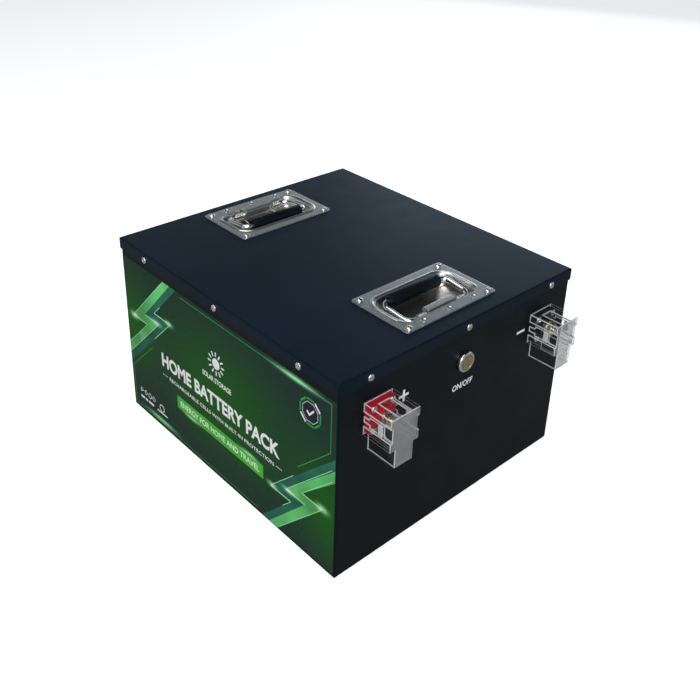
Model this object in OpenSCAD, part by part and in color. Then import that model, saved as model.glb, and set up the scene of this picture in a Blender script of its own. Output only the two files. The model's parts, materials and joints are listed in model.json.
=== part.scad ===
// Metal-cased rechargeable battery pack with two recessed lifting handles, a push
// button and two covered power terminals. Millimetres, +Z up. The origin is the
// centre of the case's bottom face, and the terminal face looks along -Y.

/* [Case] */
// Outside width of the case, along X
case_w = 360; // [354:1:372]
// Outside depth of the case, along Y
case_d = 397; // [392:1:410]
// Height of the lid's top face above the floor
pack_h = 244; // [242:1:256]
// Thickness of the case and lid sheet
sheet_t = 1.2; // [1:0.1:1.5]
// Outer radius of the sheet's bends
bend_r = 2.2; // [1.8:0.1:3]

/* [Lid] */
// Gap between the lid's skirt and the case
lid_gap = 0.3; // [0.3:0.1:0.6]
// Height of the lid's skirt, from the top face down
skirt_h = 14; // [13:0.5:18]
// Distance from the middle skirt screw to the outer ones
screw_reach = 141.5; // [130:0.5:146]

/* [Handles] */
// Y of the front handle plate's centre
front_handle_y = -135; // [-138:1:-132]
// Y of the rear handle plate's centre
rear_handle_y = 141; // [136:1:143]
// Length of a handle plate
plate_w = 140; // [138:1:144]
// Width of a handle plate
plate_d = 87; // [86:1:89]
// Length of the hand grip
grip_l = 76; // [70:1:78]
// Diameter of the hand grip
grip_dia = 15.2; // [14:0.1:16]

/* [Terminals and button] */
// Distance of each terminal from the middle of the front face
terminal_x = 129; // [126:1:132]
// Height of the terminals above the floor
terminal_z = 190; // [186:1:192]
// Height of the push button above the floor
button_z = 193; // [188:1:194]
// Diameter of the button's bezel
bezel_dia = 24.6; // [24:0.1:26]

/* [Cells] */
// Width of a cell, along Y
cell_w = 130.3; // [129:0.1:131]
// Thickness of a cell, along X
cell_t = 36.7; // [36:0.1:36.8]
// Height of a cell's can
cell_h = 200.5; // [198:0.5:202]

/* [Hidden] */
$fn = 48;

// Case and lid
seal_t = 2;
flange_w = 12;
case_h = pack_h - sheet_t - seal_t;
lid_under_z = pack_h - sheet_t;
front_y = -case_d / 2;
lid_w = case_w + 2 * (lid_gap + sheet_t);
lid_d = case_d + 2 * (lid_gap + sheet_t);
skirt_slit = 0.8;
skirt_screw_z = 236;
m4_shank_r = 1.98;
m4_nut_bore_r = 2;
m4_hole_r = 2.25;
m4_head_r = 4;
m4_head_h = 2.5;
m4_slot = 1;
clinch_r = 3.4;
clinch_shank_r = 2.7;
clinch_h = 2.6;
label_t = 0.3;
label_margin = 2;
label_low = 5;
label_high = 222;

// Handles: z = 0 of a handle's own frame is the plate's top face, and -Y its hinge side
plate_top_z = pack_h + sheet_t;
plate_corner_r = 5;
plate_screw_x = 61.75;
plate_screw_y = 37;
pan_depth = 16;
pan_x = 57;
pan_front = -31;
pan_back = 27.5;
pan_r = 15;
mouth_front = -28.5;
pivot_y = -24.5;
pivot_z = -5.7;
wire_r = 3.25;
grip_y = 16.5;
grip_z = -1.2;
arm_x = 48.5;
hinge_bend_r = 12;
grip_bend_r = 9;
wire_end_x = 9;
knuckle_half = 22;
knuckle_bore_r = 3.3;
leaf_t = 1.2;
leaf_x = 48;
leaf_y = -40;
rivet_x = 39;
rivet_y = -36.5;
rivet_r = 2;
spring_wire_r = 0.7;
spring_from_x = 23;
spring_turns = 9;
bail_reach = norm([grip_y - pivot_y, grip_z - pivot_z]);
bail_tilt = atan2(grip_z - pivot_z, grip_y - pivot_y);

// Terminals
base_half_w = 17.3;
base_half_h = 16.5;
base_t = 8;
boss_r = 11.5;
boss_l = 13;
spigot_r = 10.8;
spigot_hole_r = 11;
spigot_l = 7;
stud_r = 4;
stud_grip_r = 3.6;
stud_tip = 0.8;
stud_hole_r = 4.1;
stud_out = 27.5;
stud_in = 21;
m8_nut_h = 6.5;
m8_nut_flats = 13;
m8_washer_r = 8;
m8_washer_h = 1.6;
lug_t = 3;
base_screw_off = 12.6;
cover_half_w = 19.4;
cover_up = 18.8;
cover_down = 18.6;
cover_tail = 40.2;
cover_tail_half_w = 12.3;
cover_t = 1.8;
cover_gap = 0.3;
cover_l = 38.8;
latch_window = 8.2;
latch_l = 27.5;
latch_head = 6.6;
latch_arm = 3.4;
latch_neck = 9;
latch_inset = 2.6;
rib_x = 7.4;
rib_from = 9.5;

// Button
bezel_h = 3.4;
barrel_r = 10.9;
barrel_hole_r = 11.1;
barrel_l = 24;
button_cap_r = 8.2;
button_bore_r = 8.5;
cap_l = 5;
gasket_t = 1;

// Print on the front face
mark_t = 0.15;
mark_l = 14;
mark_w = 3;
plus_x = -92;
plus_z = 191;
minus_x = 96;
minus_z = 191;
legend_drop = 30;
legend_l = 32;
legend_h = 7.6;

// Cell pack
pad_t = 3;
floor_z = sheet_t + pad_t;
cell_gap = 0.5;
cells_in_row = 8;
row_l = cells_in_row * cell_t + (cells_in_row - 1) * cell_gap;
divider_t = 1.2;
row_slack = 0.1;
rear_row_back = 188.6;
rear_row_y = rear_row_back - cell_w / 2;
front_row_y = rear_row_y - cell_w - divider_t - row_slack;
pack_front_y = front_row_y - cell_w / 2;
pack_mid_y = (pack_front_y + rear_row_back) / 2;
pack_d = rear_row_back - pack_front_y;
cell_top_z = floor_z + cell_h;
pole_y = 42;
pole_r = 9;
pole_h = 1.5;
busbar_t = 2;
busbar_w = 18;
m6_r = 3;
m6_nut_h = 6;
busbar_top_z = cell_top_z + pole_h + busbar_t;
cell_stud_top = busbar_top_z + m6_nut_h + 0.6;
end_plate_t = 10;
strap_t = 0.6;
strap_w = 16;
sheet_top_t = 1;
foam_low_z = sheet_t + bend_r;
bms_w = 200;
bms_d = 24;
bms_h = 112;
bms_low_z = 42;
bracket_t = 2;
bracket_y = pack_front_y - strap_t - bracket_t - 0.2;
bms_y = bracket_y - bms_d;
cable_r = 5;
lead_r = 1.2;

// Plain shapes

module rounded_rect(w, d, r) {
    square([w - 2 * r, d], center = true);
    square([w, d - 2 * r], center = true);
    for (sx = [-1, 1], sy = [-1, 1])
        translate([sx * (w / 2 - r), sy * (d / 2 - r)])
            circle(r);
}

module box_at(low, high) {
    translate(low)
        cube(high - low);
}

// A rod along X, Y or Z from a point
module rod_x(p, l, r) {
    translate(p)
        rotate([0, 90, 0])
            cylinder(h = l, r = r);
}

module rod_y(p, l, r) {
    translate(p)
        rotate([-90, 0, 0])
            cylinder(h = l, r = r);
}

// A point on the smooth curve through four points, at t from 0 to 1 between the middle two
function curve_point(a, b, c, d, t) =
    0.5 * (2 * b + (c - a) * t + (2 * a - 5 * b + 4 * c - d) * t * t
        + (3 * b - a - 3 * c + d) * t * t * t);

// A cable's route: its points, with three more between each pair
function smooth_route(p) = let (last = len(p) - 1) concat(
    [for (i = [0:last - 1], k = [0:3])
        curve_point(p[max(i - 1, 0)], p[i], p[i + 1], p[min(i + 2, last)], k / 4)],
    [p[last]]
);

function unit(v) = v / norm(v);

// The route's direction at its point number i
function heading(route, i) =
    unit(route[min(i + 1, len(route) - 1)] - route[max(i - 1, 0)]);

// A side direction carried along the route without twisting
function side_at(route, i) =
    i == 0
        ? unit(cross(heading(route, 0), [0.31, 0.53, 0.79]))
        : let (h = heading(route, i), s = side_at(route, i - 1)) unit(s - (s * h) * h);

// A round cable swept along a smooth route
module cable(points, r) {
    sides = 8;
    route = smooth_route(points);
    last = len(route) - 1;
    rings = [for (i = [0:last])
        let (h = heading(route, i), u = side_at(route, i), v = cross(h, u))
            for (k = [0:sides - 1])
                route[i] + r * (cos(360 * k / sides) * u + sin(360 * k / sides) * v)];
    walls = [for (i = [0:last - 1], k = [0:sides - 1])
        let (a = i * sides + k, b = i * sides + (k + 1) % sides)
            [b, a, a + sides, b + sides]];
    caps = [[for (k = [0:sides - 1]) k], [for (k = [sides - 1:-1:0]) last * sides + k]];
    polyhedron(points = rings, faces = concat(walls, caps), convexity = 6);
}

// A closed coil along +Z: turns that touch, round a core of radius inner_r
module coil(inner_r, wire_r, turns) {
    rotate_extrude()
        for (i = [0:turns - 1])
            translate([inner_r + wire_r, wire_r + i * 1.9 * wire_r])
                circle(wire_r, $fn = 24);
}

// A pan-head screw: head on top of z = 0, shank down, cross recess in the head
module pan_screw(shank_l) {
    difference() {
        union() {
            cylinder(h = m4_head_h * 0.6, r = m4_head_r);
            translate([0, 0, m4_head_h * 0.6])
                cylinder(h = m4_head_h * 0.4, r1 = m4_head_r, r2 = m4_head_r * 0.72);
        }
        for (turn = [0, 90])
            rotate([0, 0, turn])
                translate([-m4_head_r * 0.55, -m4_slot / 2, m4_head_h - 1.3])
                    cube([m4_head_r * 1.1, m4_slot, 2]);
    }
    translate([0, 0, -shank_l])
        cylinder(h = shank_l, r = m4_shank_r);
}

module hex_nut(flats, h, bore) {
    difference() {
        cylinder(h = h, r = flats / 2 / cos(30), $fn = 6);
        translate([0, 0, -1])
            cylinder(h = h + 2, r = bore);
    }
}

// The places on the skirt's four sides: [x, y, turn about Z]
function skirt_spots(w, d) = concat(
    [for (k = [-1, 0, 1]) [k * screw_reach, -d / 2, 0]],
    [for (k = [-1, 0, 1]) [k * screw_reach, d / 2, 180]],
    [for (k = [-1, 0, 1]) [-w / 2, k * screw_reach, -90]],
    [for (k = [-1, 0, 1]) [w / 2, k * screw_reach, 90]]
);

// Puts children at each skirt spot, with local +Z pointing out of the side
module at_skirt(w, d) {
    for (s = skirt_spots(w, d))
        translate([s[0], s[1], skirt_screw_z])
            rotate([0, 0, s[2]])
                rotate([90, 0, 0])
                    children();
}

// The box of a folded tray: round upright bends, round bends at the closed end (z = 0)
module folded_block(w, d, h, r) {
    intersection() {
        linear_extrude(h)
            rounded_rect(w, d, r);
        translate([0, d, 0])
            rotate([90, 0, 0])
                linear_extrude(2 * d)
                    translate([0, h])
                        rounded_rect(w, 2 * h, r);
        translate([-w, 0, 0])
            rotate([90, 0, 90])
                linear_extrude(2 * w)
                    translate([0, h])
                        rounded_rect(d, 2 * h, r);
    }
}

module folded_tray(w, d, h) {
    difference() {
        folded_block(w, d, h, bend_r);
        translate([0, 0, sheet_t])
            folded_block(w - 2 * sheet_t, d - 2 * sheet_t, h, bend_r - sheet_t + 0.2);
    }
}

// Case and lid

module terminal_holes() {
    rod_y([0, -2, 0], 4, spigot_hole_r);
    for (sx = [-1, 1], sz = [-1, 1])
        rod_y([sx * base_screw_off, -2, sz * base_screw_off], 4, m4_hole_r);
}

module case_shell() {
    color([0.05, 0.07, 0.09])
        difference() {
            union() {
                folded_tray(case_w, case_d, case_h);
                difference() {
                    translate([0, 0, case_h - sheet_t])
                        linear_extrude(sheet_t)
                            square([case_w - sheet_t, case_d - sheet_t], center = true);
                    translate([0, 0, case_h / 2])
                        linear_extrude(case_h)
                            rounded_rect(case_w - 2 * flange_w, case_d - 2 * flange_w, 6);
                }
            }
            at_skirt(case_w, case_d)
                translate([0, 0, -3])
                    cylinder(h = 6, r = clinch_shank_r);
            for (side = [-1, 1])
                translate([side * terminal_x, front_y + sheet_t / 2, terminal_z])
                    terminal_holes();
            rod_y([0, front_y - 2, button_z], 6, barrel_hole_r);
        }
}

module lid_cover() {
    color([0.06, 0.08, 0.1])
        difference() {
            translate([0, 0, pack_h])
                mirror([0, 0, 1])
                    folded_tray(lid_w, lid_d, skirt_h);
            for (y = [front_handle_y, rear_handle_y])
                handle_frame(y)
                    lid_cutout();
            at_skirt(case_w, case_d)
                cylinder(h = 6, r = m4_hole_r);
            for (sx = [-1, 1], sy = [-1, 1])
                translate([sx * lid_w / 2, sy * lid_d / 2, pack_h - skirt_h - 1])
                    linear_extrude(skirt_h + 1 - bend_r)
                        rotate(sx * sy * 45)
                            square([12, skirt_slit], center = true);
        }
}

module lid_seal() {
    color([0.12, 0.12, 0.12])
        translate([0, 0, case_h])
            linear_extrude(seal_t)
                difference() {
                    square([case_w - 4, case_d - 4], center = true);
                    square([case_w - 2 * flange_w + 2, case_d - 2 * flange_w + 2], center = true);
                }
}

module lid_screws() {
    color([0.75, 0.75, 0.76])
        at_skirt(lid_w, lid_d)
            pan_screw(6);
}

module lid_clinch_nuts() {
    color([0.6, 0.6, 0.62])
        at_skirt(case_w, case_d)
            difference() {
                union() {
                    translate([0, 0, -sheet_t])
                        cylinder(h = sheet_t, r = clinch_shank_r);
                    translate([0, 0, -sheet_t - clinch_h])
                        cylinder(h = clinch_h, r = clinch_r);
                }
                translate([0, 0, -8])
                    cylinder(h = 10, r = m4_nut_bore_r);
            }
}

module side_label() {
    color([0.1, 0.3, 0.12])
        box_at(
            [-case_w / 2 - label_t, -case_d / 2 + label_margin, label_low],
            [-case_w / 2, case_d / 2 - label_margin, label_high]
        );
}

// Handles

// A handle's own frame: the rear handle is turned half a turn, so both grips face inwards
module handle_frame(y) {
    translate([0, y, plate_top_z])
        rotate([0, 0, y > 0 ? 180 : 0])
            children();
}

// The rounded outline of the pan, grown by an amount
module pan_outline(grow) {
    translate([0, (pan_front + pan_back) / 2])
        rounded_rect(2 * (pan_x + grow), pan_back - pan_front + 2 * grow, pan_r + grow);
}

module lid_cutout() {
    translate([0, 0, -30])
        linear_extrude(60) {
            pan_outline(sheet_t + 0.5);
            translate([-leaf_x - 0.5, leaf_y - 0.5])
                square([2 * leaf_x + 1, 14]);
        }
    for (sx = [-1, 1], sy = [-1, 1])
        translate([sx * plate_screw_x, sy * plate_screw_y, -10])
            cylinder(h = 20, r = m4_hole_r);
}

module handle_plate() {
    color([0.72, 0.73, 0.74])
        difference() {
            union() {
                translate([0, 0, -sheet_t])
                    linear_extrude(sheet_t)
                        rounded_rect(plate_w, plate_d, plate_corner_r);
                // raised bead round three sides of the mouth
                linear_extrude(0.9)
                    intersection() {
                        difference() {
                            pan_outline(4.6);
                            pan_outline(1.6);
                        }
                        translate([-plate_w / 2, mouth_front])
                            square([plate_w, plate_d]);
                    }
                translate([0, 0, -pan_depth - sheet_t])
                    linear_extrude(pan_depth)
                        pan_outline(sheet_t);
            }
            // the hollow of the pan
            translate([0, 0, -pan_depth])
                linear_extrude(pan_depth - sheet_t)
                    pan_outline(0);
            // the mouth in the plate
            translate([0, 0, -pan_depth])
                linear_extrude(2 * pan_depth)
                    intersection() {
                        pan_outline(0);
                        translate([-plate_w, mouth_front])
                            square([2 * plate_w, plate_d]);
                    }
            // window for the knuckle's leaf
            box_at(
                [-leaf_x - 0.3, pan_front - sheet_t - 1, -sheet_t - leaf_t - 0.3],
                [leaf_x + 0.3, pan_front + 3, -sheet_t]
            );
            for (sx = [-1, 1], sy = [-1, 1])
                translate([sx * plate_screw_x, sy * plate_screw_y, -5])
                    cylinder(h = 10, r = m4_hole_r);
            for (k = [-1, 0, 1])
                translate([k * rivet_x, rivet_y, -5])
                    cylinder(h = 10, r = rivet_r);
        }
}

// Leaf under the plate with a barrel that the bail's ends turn in
module hinge_knuckle() {
    barrel_r_out = -sheet_t - pivot_z;
    color([0.7, 0.71, 0.72])
        difference() {
            union() {
                box_at([-leaf_x, leaf_y, -sheet_t - leaf_t], [leaf_x, mouth_front, -sheet_t]);
                box_at([-knuckle_half, leaf_y, -sheet_t - leaf_t], [knuckle_half, pivot_y, -sheet_t]);
                rod_x([-knuckle_half, pivot_y, pivot_z], 2 * knuckle_half, barrel_r_out);
            }
            rod_x([-knuckle_half - 1, pivot_y, pivot_z], 2 * knuckle_half + 2, knuckle_bore_r);
            for (k = [-1, 0, 1])
                translate([k * rivet_x, rivet_y, -5])
                    cylinder(h = 10, r = rivet_r);
        }
}

module hinge_rivets() {
    color([0.78, 0.78, 0.8])
        for (k = [-1, 0, 1])
            translate([k * rivet_x, rivet_y, 0]) {
                translate([0, 0, -sheet_t - leaf_t])
                    cylinder(h = sheet_t + leaf_t, r = rivet_r);
                cylinder(h = 0.6, r = rivet_r + 1);
            }
}

// Quarter bend of the wire: from +X direction, turning left, starting at the origin
module wire_bend(r) {
    translate([0, r, 0])
        rotate([0, 0, -90])
            rotate_extrude(angle = 90)
                translate([r, 0])
                    circle(wire_r);
}

// The bail in its own plane: the origin is on the pivot axis, the grip is at +Y
module bail_half() {
    straight_end = arm_x - hinge_bend_r;
    rod_x([wire_end_x, 0, 0], straight_end - wire_end_x, wire_r);
    translate([straight_end, 0, 0])
        wire_bend(hinge_bend_r);
    rod_y([arm_x, hinge_bend_r, 0], bail_reach - hinge_bend_r - grip_bend_r, wire_r);
    translate([arm_x, bail_reach - grip_bend_r, 0])
        rotate([0, 0, 90])
            wire_bend(grip_bend_r);
    rod_x([0, bail_reach, 0], arm_x - grip_bend_r, wire_r);
}

module bail_frame() {
    translate([0, pivot_y, pivot_z])
        rotate([bail_tilt, 0, 0])
            children();
}

module handle_bail() {
    color([0.8, 0.8, 0.82])
        bail_frame() {
            bail_half();
            mirror([1, 0, 0])
                bail_half();
        }
}

module handle_grip() {
    color([0.03, 0.035, 0.04])
        bail_frame()
            difference() {
                union() {
                    rod_x([-grip_l / 2, bail_reach, 0], grip_l, grip_dia / 2 - 0.4);
                    rod_x([-grip_l / 2 + 1, bail_reach, 0], grip_l - 2, grip_dia / 2);
                }
                rod_x([-grip_l, bail_reach, 0], 2 * grip_l, wire_r);
            }
}

// A closed coil round the wire on each side of the barrel
module return_springs() {
    color([0.75, 0.75, 0.78])
        for (side = [0, 1])
            mirror([side, 0, 0])
                translate([spring_from_x, pivot_y, pivot_z])
                    rotate([0, 90, 0])
                        coil(wire_r + 0.4, spring_wire_r, spring_turns);
}

module handle_screws() {
    color([0.8, 0.8, 0.82])
        for (y = [front_handle_y, rear_handle_y], sx = [-1, 1], sy = [-1, 1])
            handle_frame(y)
                translate([sx * plate_screw_x, sy * plate_screw_y, 0])
                    pan_screw(7);
}

module handle_lock_nuts() {
    color([0.65, 0.65, 0.67])
        for (y = [front_handle_y, rear_handle_y], sx = [-1, 1], sy = [-1, 1])
            handle_frame(y)
                translate([sx * plate_screw_x, sy * plate_screw_y, -2 * sheet_t - 3.2])
                    hex_nut(7, 3.2, m4_nut_bore_r);
}

// Push button: local +Z points out of the front face

module button_frame() {
    translate([0, front_y, button_z])
        rotate([90, 0, 0])
            children();
}

module button_body() {
    color([0.75, 0.74, 0.72])
        button_frame()
            difference() {
                union() {
                    translate([0, 0, gasket_t])
                        cylinder(h = bezel_h * 0.45, r = bezel_dia / 2);
                    translate([0, 0, gasket_t + bezel_h * 0.45])
                        cylinder(h = bezel_h * 0.55, r1 = bezel_dia / 2, r2 = bezel_dia / 2 - 2.4);
                    translate([0, 0, -barrel_l])
                        cylinder(h = barrel_l + gasket_t, r = barrel_r);
                }
                translate([0, 0, -barrel_l + 3])
                    cylinder(h = 60, r = button_bore_r);
            }
}

module button_cap() {
    color([0.72, 0.62, 0.45])
        button_frame()
            difference() {
                translate([0, 0, -cap_l])
                    cylinder(h = cap_l + gasket_t + bezel_h - 0.2, r = button_cap_r);
                translate([0, 0, gasket_t + bezel_h + 24.4])
                    sphere(26);
            }
}

// Return spring under the cap, drawn as a closed coil
module button_spring() {
    turns = 12;
    length = barrel_l - 3 - cap_l;
    color([0.7, 0.7, 0.72])
        button_frame()
            translate([0, 0, -barrel_l + 3])
                coil(4.4, length / (1.9 * turns + 0.1), turns);
}

module button_seal() {
    color([0.1, 0.1, 0.1])
        button_frame()
            difference() {
                cylinder(h = gasket_t, r = bezel_dia / 2 - 0.8);
                translate([0, 0, -1])
                    cylinder(h = 4, r = barrel_r + 0.05);
            }
}

module button_nut() {
    color([0.7, 0.7, 0.7])
        button_frame()
            translate([0, 0, -sheet_t - 4])
                hex_nut(27, 4, barrel_r);
}

module button_switch_block() {
    color([0.1, 0.1, 0.11])
        button_frame() {
            translate([0, 0, -barrel_l - 10])
                cylinder(h = 10, r = 9.5);
            for (sx = [-1, 1], sy = [-1, 1])
                translate([sx * 4.5 - 1.4, sy * 4 - 0.4, -barrel_l - 16])
                    cube([2.8, 0.8, 6.5]);
        }
}

// Terminals: local +Z points out of the front face, local +Y is up

module terminal_frame(side) {
    translate([side * terminal_x, front_y, terminal_z])
        rotate([90, 0, 0])
            children();
}

module at_base_screws() {
    for (sx = [-1, 1], sy = [-1, 1])
        translate([sx * base_screw_off, sy * base_screw_off, 0])
            children();
}

module terminal_base(side, tint) {
    color(tint)
        terminal_frame(side)
            difference() {
                union() {
                    linear_extrude(base_t)
                        rounded_rect(2 * base_half_w, 2 * base_half_h, 2);
                    cylinder(h = boss_l, r = boss_r);
                    translate([0, 0, -sheet_t - spigot_l])
                        cylinder(h = spigot_l + sheet_t, r = spigot_r);
                }
                translate([0, 0, -20])
                    cylinder(h = 60, r = stud_hole_r);
                at_base_screws()
                    translate([0, 0, -2])
                        cylinder(h = 20, r = m4_hole_r);
            }
}

// M8 studs. The thread is drawn at its outside radius on the free end, where a lug
// goes, and at its mean radius in the stretch that the nuts grip.
module terminal_studs() {
    nut_face_z = boss_l + m8_washer_h + m8_nut_h;
    color([0.78, 0.76, 0.7])
        for (side = [-1, 1])
            terminal_frame(side) {
                translate([0, 0, -stud_in])
                    cylinder(h = stud_in + nut_face_z, r = stud_grip_r);
                translate([0, 0, nut_face_z])
                    cylinder(h = stud_out - stud_tip - nut_face_z, r = stud_r);
                translate([0, 0, stud_out - stud_tip])
                    cylinder(h = stud_tip, r1 = stud_r, r2 = stud_grip_r - 0.3);
            }
}

// z of the inner lug's face, behind the spigot
inner_lug_z = -sheet_t - spigot_l - lug_t;

module terminal_washers() {
    color([0.8, 0.79, 0.76])
        for (side = [-1, 1])
            terminal_frame(side)
                for (z = [boss_l, inner_lug_z - m8_washer_h])
                    translate([0, 0, z])
                        difference() {
                            cylinder(h = m8_washer_h, r = m8_washer_r);
                            translate([0, 0, -1])
                                cylinder(h = 6, r = stud_hole_r + 0.1);
                        }
}

module terminal_nuts() {
    color([0.8, 0.77, 0.68])
        for (side = [-1, 1])
            terminal_frame(side) {
                translate([0, 0, boss_l + m8_washer_h])
                    hex_nut(m8_nut_flats, m8_nut_h, stud_grip_r);
                translate([0, 0, inner_lug_z - m8_washer_h - m8_nut_h])
                    hex_nut(m8_nut_flats, m8_nut_h, stud_grip_r);
            }
}

module terminal_base_screws() {
    color([0.8, 0.8, 0.82])
        for (side = [-1, 1])
            terminal_frame(side)
                at_base_screws()
                    translate([0, 0, base_t])
                        pan_screw(base_t + 6);
}

module terminal_base_nuts() {
    color([0.65, 0.65, 0.67])
        for (side = [-1, 1])
            terminal_frame(side)
                at_base_screws()
                    translate([0, 0, -sheet_t - 3.2])
                        hex_nut(7, 3.2, m4_nut_bore_r);
}

// Clear snap-on cover: a box over the base and a narrower tail for the cable, open
// at the back and at the bottom, with a latch tongue in each side
module terminal_cover(side) {
    out = cover_l;
    half = cover_half_w;
    color([0.85, 0.88, 0.9, 0.45])
        terminal_frame(side) {
            difference() {
                union() {
                    box_at([-half, -cover_down, cover_gap], [half, cover_up, out]);
                    box_at(
                        [-cover_tail_half_w, -cover_tail, cover_gap],
                        [cover_tail_half_w, 0, out]
                    );
                }
                // hollow of the wide part
                box_at(
                    [-half + cover_t, -cover_down + cover_t, -1],
                    [half - cover_t, cover_up - cover_t, out - cover_t]
                );
                // hollow of the tail, open below
                box_at(
                    [-cover_tail_half_w + cover_t, -cover_tail - 1, -1],
                    [cover_tail_half_w - cover_t, 0, out - cover_t]
                );
                // pocket in front of each tongue, and the tongue's window
                for (s = [-1, 1]) {
                    box_at(
                        [s * half - latch_inset, -latch_window, latch_l],
                        [s * half + latch_inset, latch_window, out + 1]
                    );
                    box_at(
                        [s * half - latch_inset, -latch_window, -1],
                        [s * half + latch_inset, latch_window, latch_l + cover_t]
                    );
                }
            }
            for (s = [-1, 1]) {
                // wall at the bottom of the pocket
                box_at(
                    [s * (half - latch_inset - cover_t / 2) - cover_t / 2, -latch_window, latch_l],
                    [s * (half - latch_inset - cover_t / 2) + cover_t / 2, latch_window, out - cover_t]
                );
                // step from the pocket's wall out to the tongue, the tongue's head and its arm
                box_at(
                    [s * (half - 2.2) - 2.2, -latch_head, latch_l - 4],
                    [s * (half - 2.2) + 2.2, latch_head, latch_l + 0.01]
                );
                box_at(
                    [s * (half - cover_t / 2) - cover_t / 2, -latch_head, latch_neck],
                    [s * (half - cover_t / 2) + cover_t / 2, latch_head, latch_l]
                );
                box_at(
                    [s * (half - cover_t / 2) - cover_t / 2, -latch_arm, cover_gap + 0.7],
                    [s * (half - cover_t / 2) + cover_t / 2, latch_arm, latch_neck]
                );
            }
            // stiffening ribs under the roof
            for (s = [-1, 1])
                box_at(
                    [s * rib_x - 0.4, cover_up - cover_t - 1, rib_from],
                    [s * rib_x + 0.4, cover_up - cover_t, out - 1]
                );
            box_at(
                [-rib_x - 0.4, cover_up - cover_t - 1, rib_from - 0.8],
                [rib_x + 0.4, cover_up - cover_t, rib_from]
            );
        }
}

// Printed plus and minus signs, and a bar where the legend is under the button
module front_markings() {
    color([0.92, 0.93, 0.92])
        translate([0, front_y, 0])
            rotate([90, 0, 0])
                linear_extrude(mark_t) {
                    translate([plus_x, plus_z]) {
                        square([mark_l, mark_w], center = true);
                        square([mark_w, mark_l], center = true);
                    }
                    translate([minus_x, minus_z])
                        square([mark_l, mark_w], center = true);
                    translate([0, button_z - legend_drop])
                        square([legend_l, legend_h], center = true);
                }
}

// Cells and what holds them

module bottom_pad() {
    color([0.15, 0.15, 0.16])
        box_at(
            [-row_l / 2 - end_plate_t, pack_front_y, sheet_t],
            [row_l / 2 + end_plate_t, rear_row_back, floor_z]
        );
}

function cell_x(i) = -row_l / 2 + cell_t / 2 + i * (cell_t + cell_gap);

module cell() {
    difference() {
        translate([0, 0, 0])
            linear_extrude(cell_h)
                rounded_rect(cell_t, cell_w, 2.5);
        translate([0, 0, cell_h - 0.6])
            cylinder(h = 2, r = 7);
    }
    for (s = [-1, 1])
        translate([0, s * pole_y, cell_h]) {
            cylinder(h = pole_h, r = pole_r);
            cylinder(h = cell_stud_top - cell_top_z, r = m6_r);
        }
}

module cell_row(y) {
    color([0.16, 0.3, 0.55])
        for (i = [0:cells_in_row - 1])
            translate([cell_x(i), y, floor_z])
                cell();
}

module cell_separators() {
    color([0.75, 0.78, 0.7])
        for (y = [front_row_y, rear_row_y], i = [0:cells_in_row - 2])
            box_at(
                [cell_x(i) + cell_t / 2, y - cell_w / 2 + 1, floor_z],
                [cell_x(i) + cell_t / 2 + cell_gap, y + cell_w / 2 - 1, cell_top_z - 2]
            );
}

module row_divider() {
    color([0.7, 0.75, 0.6])
        box_at(
            [-row_l / 2, front_row_y + cell_w / 2, floor_z],
            [row_l / 2, front_row_y + cell_w / 2 + divider_t, cell_top_z]
        );
}

module end_plates() {
    color([0.7, 0.71, 0.73])
        for (s = [-1, 1])
            translate([s * (row_l / 2 + end_plate_t / 2), pack_mid_y, floor_z])
                linear_extrude(cell_h - 6)
                    rounded_rect(end_plate_t, pack_d, 2);
}

module pack_straps() {
    inner_w = row_l + 2 * end_plate_t;
    color([0.6, 0.62, 0.64])
        for (z = [floor_z + 24, floor_z + 150])
            translate([0, pack_mid_y, z])
                linear_extrude(strap_w)
                    difference() {
                        square([inner_w + 2 * strap_t, pack_d + 2 * strap_t], center = true);
                        square([inner_w, pack_d], center = true);
                    }
}

// A flat link between two poles, with a hole at each
module link(a, b) {
    v = b - a;
    translate([a[0], a[1], busbar_top_z - busbar_t])
        rotate([0, 0, atan2(v[1], v[0])])
            linear_extrude(busbar_t)
                difference() {
                    union() {
                        translate([0, -busbar_w / 2])
                            square([norm(v), busbar_w]);
                        circle(busbar_w / 2);
                        translate([norm(v), 0])
                            circle(busbar_w / 2);
                    }
                    circle(m6_r + 0.2);
                    translate([norm(v), 0])
                        circle(m6_r + 0.2);
                }
}

// Cells are in series: the front row runs left to right, the rear row comes back
module busbars() {
    color([0.75, 0.75, 0.74])
        union() {
            for (i = [0:cells_in_row - 2]) {
                near = i % 2 == 0 ? -1 : 1;
                link([cell_x(i), front_row_y + near * pole_y], [cell_x(i + 1), front_row_y + near * pole_y]);
                link([cell_x(i), rear_row_y - near * pole_y], [cell_x(i + 1), rear_row_y - near * pole_y]);
            }
            last = cell_x(cells_in_row - 1);
            link([last, front_row_y + pole_y], [last, rear_row_y - pole_y]);
        }
}

module busbar_nuts() {
    color([0.8, 0.8, 0.8])
        for (y = [front_row_y, rear_row_y], s = [-1, 1], i = [0:cells_in_row - 1])
            if (i > 0 || abs(y + s * pole_y - (front_row_y + rear_row_y) / 2) > pole_y)
                translate([cell_x(i), y + s * pole_y, busbar_top_z])
                    hex_nut(10, m6_nut_h, m6_r);
}

module top_insulation() {
    color([0.75, 0.78, 0.65])
        box_at(
            [-row_l / 2 + 40, pack_front_y + 4, cell_stud_top],
            [row_l / 2, rear_row_back - 2, cell_stud_top + sheet_top_t]
        );
}

module side_foam() {
    color([0.2, 0.2, 0.22])
        for (s = [-1, 1])
            mirror([s < 0 ? 1 : 0, 0, 0])
                box_at(
                    [row_l / 2 + end_plate_t + strap_t, pack_front_y + 10, foam_low_z],
                    [case_w / 2 - sheet_t, rear_row_back - 6, 196]
                );
}

module rear_foam() {
    color([0.2, 0.2, 0.22])
        box_at(
            [-140, rear_row_back + strap_t, foam_low_z],
            [140, case_d / 2 - sheet_t, 200]
        );
}

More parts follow.
